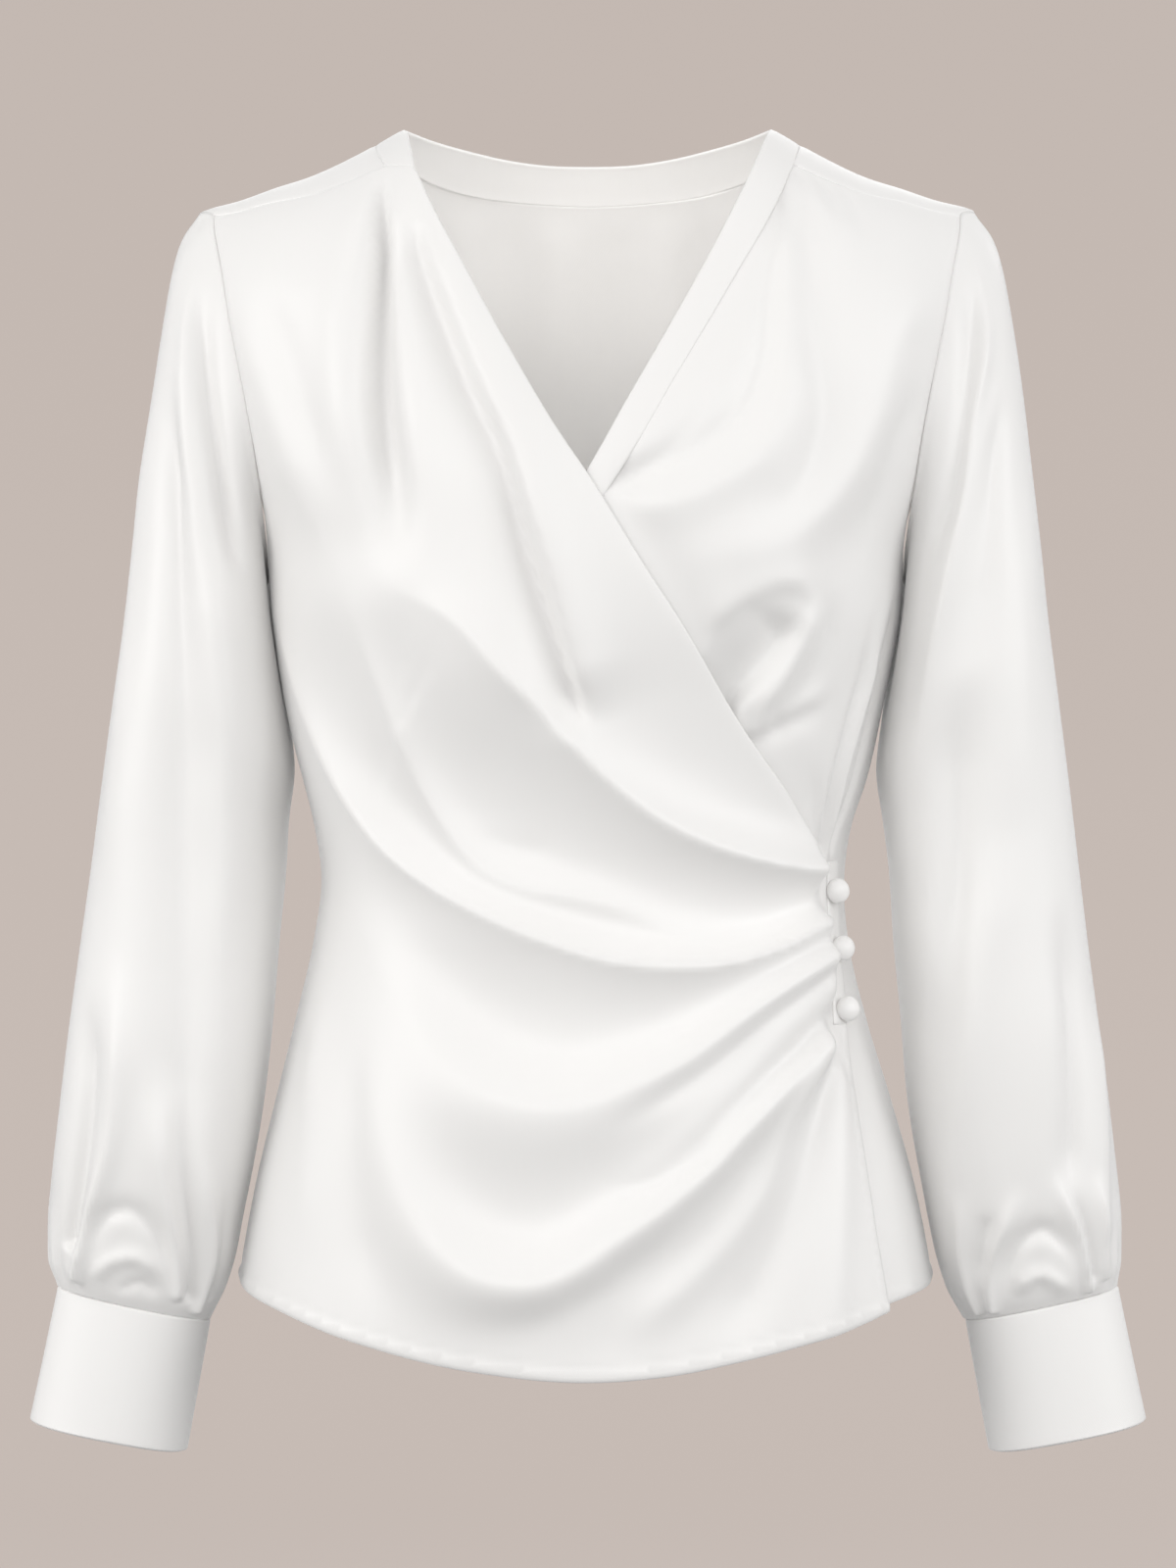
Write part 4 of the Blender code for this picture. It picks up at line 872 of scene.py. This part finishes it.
def gathers(turn, down, seed):  # pleats into the cuff, uneven in place, height and reach
    pick = np.random.default_rng(seed)
    lift = np.zeros((len(down), len(turn)))
    for number in range(gather["count"]):
        at = (number + pick.uniform(-gather["scatter"], gather["scatter"])) * 360 / gather["count"]
        reach = pick.uniform(*gather["reach"])
        front = np.exp(-((at - gather["calmTurn"]) / gather["calmSpread"]) ** 2)
        height = gather["height"] * pick.uniform(*gather["uneven"]) * (1 - gather["calm"] * front)
        apart = (np.degrees(turn) - at + 180) % 360 - 180
        spread = gather["width"] + gather["flare"] * np.clip((1 - down) / reach, 0, 1)
        rise = smooth((down - 1 + reach) / (reach * 0.8))
        rise = rise * (1 - gather["calm"] * smooth((down - 1 + gather["hold"]) / gather["hold"]))
        lift += height * rise[:, None] * np.exp(-(apart[None, :] / spread[:, None]) ** 2)
    return lift


def makeSleeve(side, hand):
    loops = sleeveForm(side, hand)
    normal = tubeNormals(loops)
    flat, down = sleeveFlat(loops)
    lift = np.zeros(len(flat))
    for shift in (-sleeve["girth"], 0, sleeve["girth"]):
        rows = []
        for *shape, line in sleeveCreases["both"] + sleeveCreases[hand]:
            line = np.reshape(line, (-1, 2)) / [360, 1] * [sleeve["girth"], sleeve["length"]]
            rows.append((*shape, line + [shift, 0]))
        lift += creaseLift(flat, rows)
    turn = turnsOf(sleeve["around"])
    lift = lift.reshape(loops.shape[:2]) + gathers(turn, down, gather["seeds"][hand])
    offBody = np.clip((np.abs(loops[:, :, 0]) - sleeve["foldsFrom"]) / sleeve["foldsOver"], 0, 1)
    lift *= np.maximum(offBody, onSide(turn, *sleeve["outerSide"]))
    away = formNormal(armholeRing(side, sleeve["around"]))
    low = onSide(turn, *sleeve["underside"])[:, None]
    start = unit(unit(loops[2] - loops[0]) * (1 - low) + away * low)
    axis = unit((loops[-1] - loops[-3]).mean(axis=0))
    flatOut = unit(normal[-1] - np.outer(normal[-1] @ axis, axis))
    outer = loops + normal * lift[:, :, None]
    inner = outer - normal * sleeve["thick"]
    outer[0] = loops[0] + start * sleeve["headGap"]
    inner[0] = outer[0] - unit(away * (1 - low) + normal[0] * low) * sleeve["thick"]
    outer[-1] = loops[-1] - flatOut * sleeve["tuck"] - axis * sleeve["tuckDown"]
    inner[-1] = outer[-1] - flatOut * sleeve["thick"]
    edge = edgeRound * sleeve["thick"]
    return makeTube(f"sleeve_{hand}_cloth", f"sleeve_{hand}", outer, inner, flat, edge)


def makeTube(name, node, outer, inner, flat, edge):
    rows, count, _ = outer.shape
    grid = np.arange(rows * count).reshape(rows, count)
    nextOne = np.roll(grid, -1, axis=1)
    faces = np.vstack([
        np.stack([grid[:-1], grid[1:], nextOne[1:]], axis=-1).reshape(-1, 3),
        np.stack([grid[:-1], nextOne[1:], nextOne[:-1]], axis=-1).reshape(-1, 3)])
    top, bottom = unit(outer[0] - outer[1]) * edge, unit(outer[-1] - outer[-2]) * edge
    edgeOut = np.zeros((rows * count, 3))
    edgeOut[:count], edgeOut[-count:] = top, bottom
    a, b, c = (outer.reshape(-1, 3)[faces[:, corner]] for corner in range(3))
    middle = outer.mean(axis=1)
    facing = np.cross(b - a, c - a)
    outward = (a + b + c) / 3 - middle[faces[:, 0] // count]
    if np.sum(facing * outward) < 0:
        faces = faces[:, ::-1]
    return makeCloth(name, node, outer.reshape(-1, 3), inner.reshape(-1, 3), flat, faces, edgeOut)


hands = {"right": -1, "left": 1}
sleevePieces = {hand: makeSleeve(side, hand) for hand, side in hands.items()}
print("sleeves made")

# Cuffs: plain, deep and stiffened
cuff = {"around": 144, "down": 34, "thick": 1.5, "flat": (0.235, 0.075), "girth": 235, "length": 70,
        "rollWidth": 1.6, "topRoll": 0.5, "hemRoll": 0.35, "edge": 0.45,
        "ripples": ((0.28, 3, 1.2, 2.0), (0.20, 5, 0.0, -3.0))}  # height, waves around, start, drift
cuffRings = columns("outerX outerHeight innerX innerHeight front back middle", (
    (263.3, -568, 187.5, -584.5, 26, 26, -12), (264.6, -574, 188.6, -590.4, 26.2, 26.2, -12.1),
    (270.5, -601.7, 193.6, -617.8, 26.9, 26.9, -13), (276.5, -629.4, 198.6, -645.1, 27.3, 27.3, -13.9),
    (277.4, -633.6, 199.5, -649.3, 27.3, 27.3, -14),
))


def makeCuff(side, hand):
    rows = finer(cuffRings, cuff["down"])
    turn = turnsOf(cuff["around"])
    outer = loopsOf(turn, side * rows["outerX"], rows["outerHeight"], side * rows["innerX"],
                    rows["innerHeight"], rows["front"], rows["back"], rows["middle"])
    normal = tubeNormals(outer)
    share = np.linspace(0, 1, cuff["down"])[:, None]
    ripple = sum(height * np.sin(waves * turn[None, :] + start + drift * share)
                 for height, waves, start, drift in cuff["ripples"])
    along = share * cuff["length"]
    rolled = cuff["topRoll"] * np.exp(-(along / cuff["rollWidth"]) ** 2)
    rolled = rolled + cuff["hemRoll"] * np.exp(-((cuff["length"] - along) / cuff["rollWidth"]) ** 2)
    outer = outer + normal * (ripple - rolled)[:, :, None]
    inner = outer - normal * cuff["thick"]
    flat = np.stack(np.meshgrid(turn / (2 * np.pi) * cuff["girth"], along[:, 0]), axis=-1).reshape(-1, 2)
    return makeTube(f"cuff_{hand}_cloth", f"cuff_{hand}", outer, inner, flat, cuff["edge"] * cuff["thick"])


cuffPieces = {hand: makeCuff(side, hand) for hand, side in hands.items()}
print("cuffs made")

# Buttons: small moulds covered in the same satin
button = {"turns": 56, "places": ((187.6, -411.0), (188.4, -439.4), (176.2, -469.0)), "top": 6.1,
          "turnedOut": 1.4, "above": 2.1, "under": 0.4, "grain": 6.0, "tuck": 0.10, "tucks": 14,
          "tuckTop": 2.2,
          "profile": ((2.7, 0.35), (4.7, 0.0), (5.5, 0.6), (6.0, 1.5), (6.15, 2.4), (6.0, 3.2), (5.6, 4.05),
                      (4.9, 4.75), (3.9, 5.35), (2.7, 5.8), (1.35, 6.03))}


def makeButton(number, place):
    flat = np.array([place], float)
    away = formNormal(flat)[0]
    foot = onForm(flat)[0] + away * button["above"]
    axis = unit(away + np.array([0.0, -1.0, 0.0]) * button["turnedOut"])
    sideways = unit(np.cross(axis, [0.0, 0.0, 1.0]))
    up = np.cross(sideways, axis)
    turn = turnsOf(button["turns"])
    circle = np.outer(np.cos(turn), sideways) + np.outer(np.sin(turn), up)
    points, grain = [], []
    for radius, height in button["profile"]:
        tuck = button["tuck"] * smooth((button["tuckTop"] - height) / 2.0)
        tuck = tuck * np.sin(turn * button["tucks"] + number)
        points.append(foot + circle * (radius + tuck)[:, None] + axis * height)
        grain.append(np.column_stack([np.cos(turn), np.sin(turn)]) * (radius + button["grain"] - height))
    points = np.vstack(points + [[foot + axis * button["under"]], [foot + axis * button["top"]]])
    grain = np.vstack(grain + [np.zeros((2, 2))])
    bottom, top = len(points) - 2, len(points) - 1
    faces = ringFaces(len(button["profile"]), len(turn))
    for at in range(len(turn)):
        after = (at + 1) % len(turn)
        faces.append((bottom, after, at))
        faces.append((top, bottom - len(turn) + at, bottom - len(turn) + after))
    makePiece(f"button_{number}_covered", f"button_{number}", points, faces, grain,
              [0] * len(faces), [buttonSatin])


for number, place in enumerate(button["places"], 1):
    makeButton(number, place)
print("buttons made")

# The studio: a pale bowl of floor that rises far behind, soft boxes and the camera
studio = {"floor": -1.10, "flatRadius": 2.6, "rimRadius": 6.5, "wall": 4.2, "rings": 40, "turns": 96,
          "tone": (0.25, 0.218, 0.20, 1), "glow": (0.345, 0.305, 0.282, 1),
          "airTone": (1.0, 0.992, 0.985), "airStrength": 1.15,
          "air": ((0, 0.22), (0.40, 0.36), (0.5, 0.90), (0.56, 1.0), (0.66, 0.95), (0.8, 0.62),
                  (1, 0.35))}  # share of the way up, and how bright
boxes = (  # name, place, aimed at, width, height, power, colour
    ("key", (-0.5, -2.7, 0.45), (0, 0, -0.30), 1.8, 0.9, 5.0, (1.0, 0.99, 0.975)),
    ("left", (-2.55, -1.75, 0.5), (0, 0, -0.32), 2.0, 1.6, 30.0, (1.0, 0.995, 0.985)),
    ("right", (2.5, -1.8, 0.5), (0, 0, -0.32), 2.0, 1.6, 25.5, (0.99, 0.995, 1.0)),
    ("behind", (0.9, 2.8, 1.2), (0, 0, -0.3), 1.8, 1.2, 9.0, (1.0, 0.99, 0.98)),
    ("inner", (0.0, -0.04, -0.09), (0, 0.09, 0.0), 0.14, 0.05, 0.09, (1.0, 0.985, 0.97)),
)


def makeFloor():
    points = []
    for radius in np.linspace(0, studio["rimRadius"], studio["rings"] + 1)[1:]:
        rise = smooth((radius - studio["flatRadius"]) / (studio["rimRadius"] - studio["flatRadius"]))
        turn = turnsOf(studio["turns"])
        height = np.full(len(turn), studio["floor"] + studio["wall"] * rise)
        points.append(np.column_stack([radius * np.cos(turn), radius * np.sin(turn), height]))
    faces = [face[::-1] for face in ringFaces(studio["rings"], studio["turns"])]
    faces.append(tuple(range(studio["turns"])))
    plaster, tree, shader = newMaterial("studio floor")
    feed(tree, shader, {
        "Base Color": studio["tone"], "Roughness": 0.9, "Specular IOR Level": 0.1,
        "Emission Color": studio["glow"], "Emission Strength": 1.0})
    floor = newObject("floor", newMesh("floor", np.vstack(points), faces, [plaster]))
    floor.visible_diffuse = floor.visible_glossy = floor.visible_shadow = False


def makeLights():
    for name, place, target, width, height, power, colour in boxes:
        light = bpy.data.lights.new(name, "AREA")
        light.shape = "RECTANGLE"
        light.size, light.size_y = width, height
        light.energy, light.color = power, colour
        lamp = newObject(name, light)
        lamp.visible_camera = False
        lamp.location = place
        lamp.rotation_euler = (Vector(target) - Vector(place)).to_track_quat("-Z", "Y").to_euler()
    world = bpy.data.worlds.new("studio air")
    world.use_nodes = True
    tree, background = world.node_tree, world.node_tree.nodes["Background"]
    direction = tree.nodes.new("ShaderNodeTexCoord")
    upward = newNode(tree, "SeparateXYZ", {0: direction.outputs["Generated"]}).outputs["Z"]
    ramp = newNode(tree, "ValToRGB", {0: mathNode(tree, "MULTIPLY_ADD", upward, 0.5, 0.5)})
    marks = ramp.color_ramp.elements
    for place, bright in studio["air"]:
        mark = marks[0] if place == 0 else marks[-1] if place == 1 else marks.new(place)
        mark.color = tuple(bright * part for part in studio["airTone"]) + (1,)
    feed(tree, background, {"Color": ramp.outputs[0], "Strength": studio["airStrength"]})
    bpy.context.scene.world = world


view = {"distance": 2.4, "height": -0.3185, "wide": 0.784, "sensor": 36.0}


def makeCamera():
    lens = bpy.data.cameras.new("camera")
    lens.sensor_width = view["sensor"]
    lens.lens = view["sensor"] * view["distance"] / view["wide"]
    camera = newObject("camera", lens)
    camera.location = (0.0, -view["distance"], view["height"])
    camera.rotation_euler = (math.pi / 2, 0.0, 0.0)
    bpy.context.scene.camera = camera


makeFloor()
makeLights()
makeCamera()
bpy.context.scene.view_settings.view_transform = "Standard"
print("studio made")
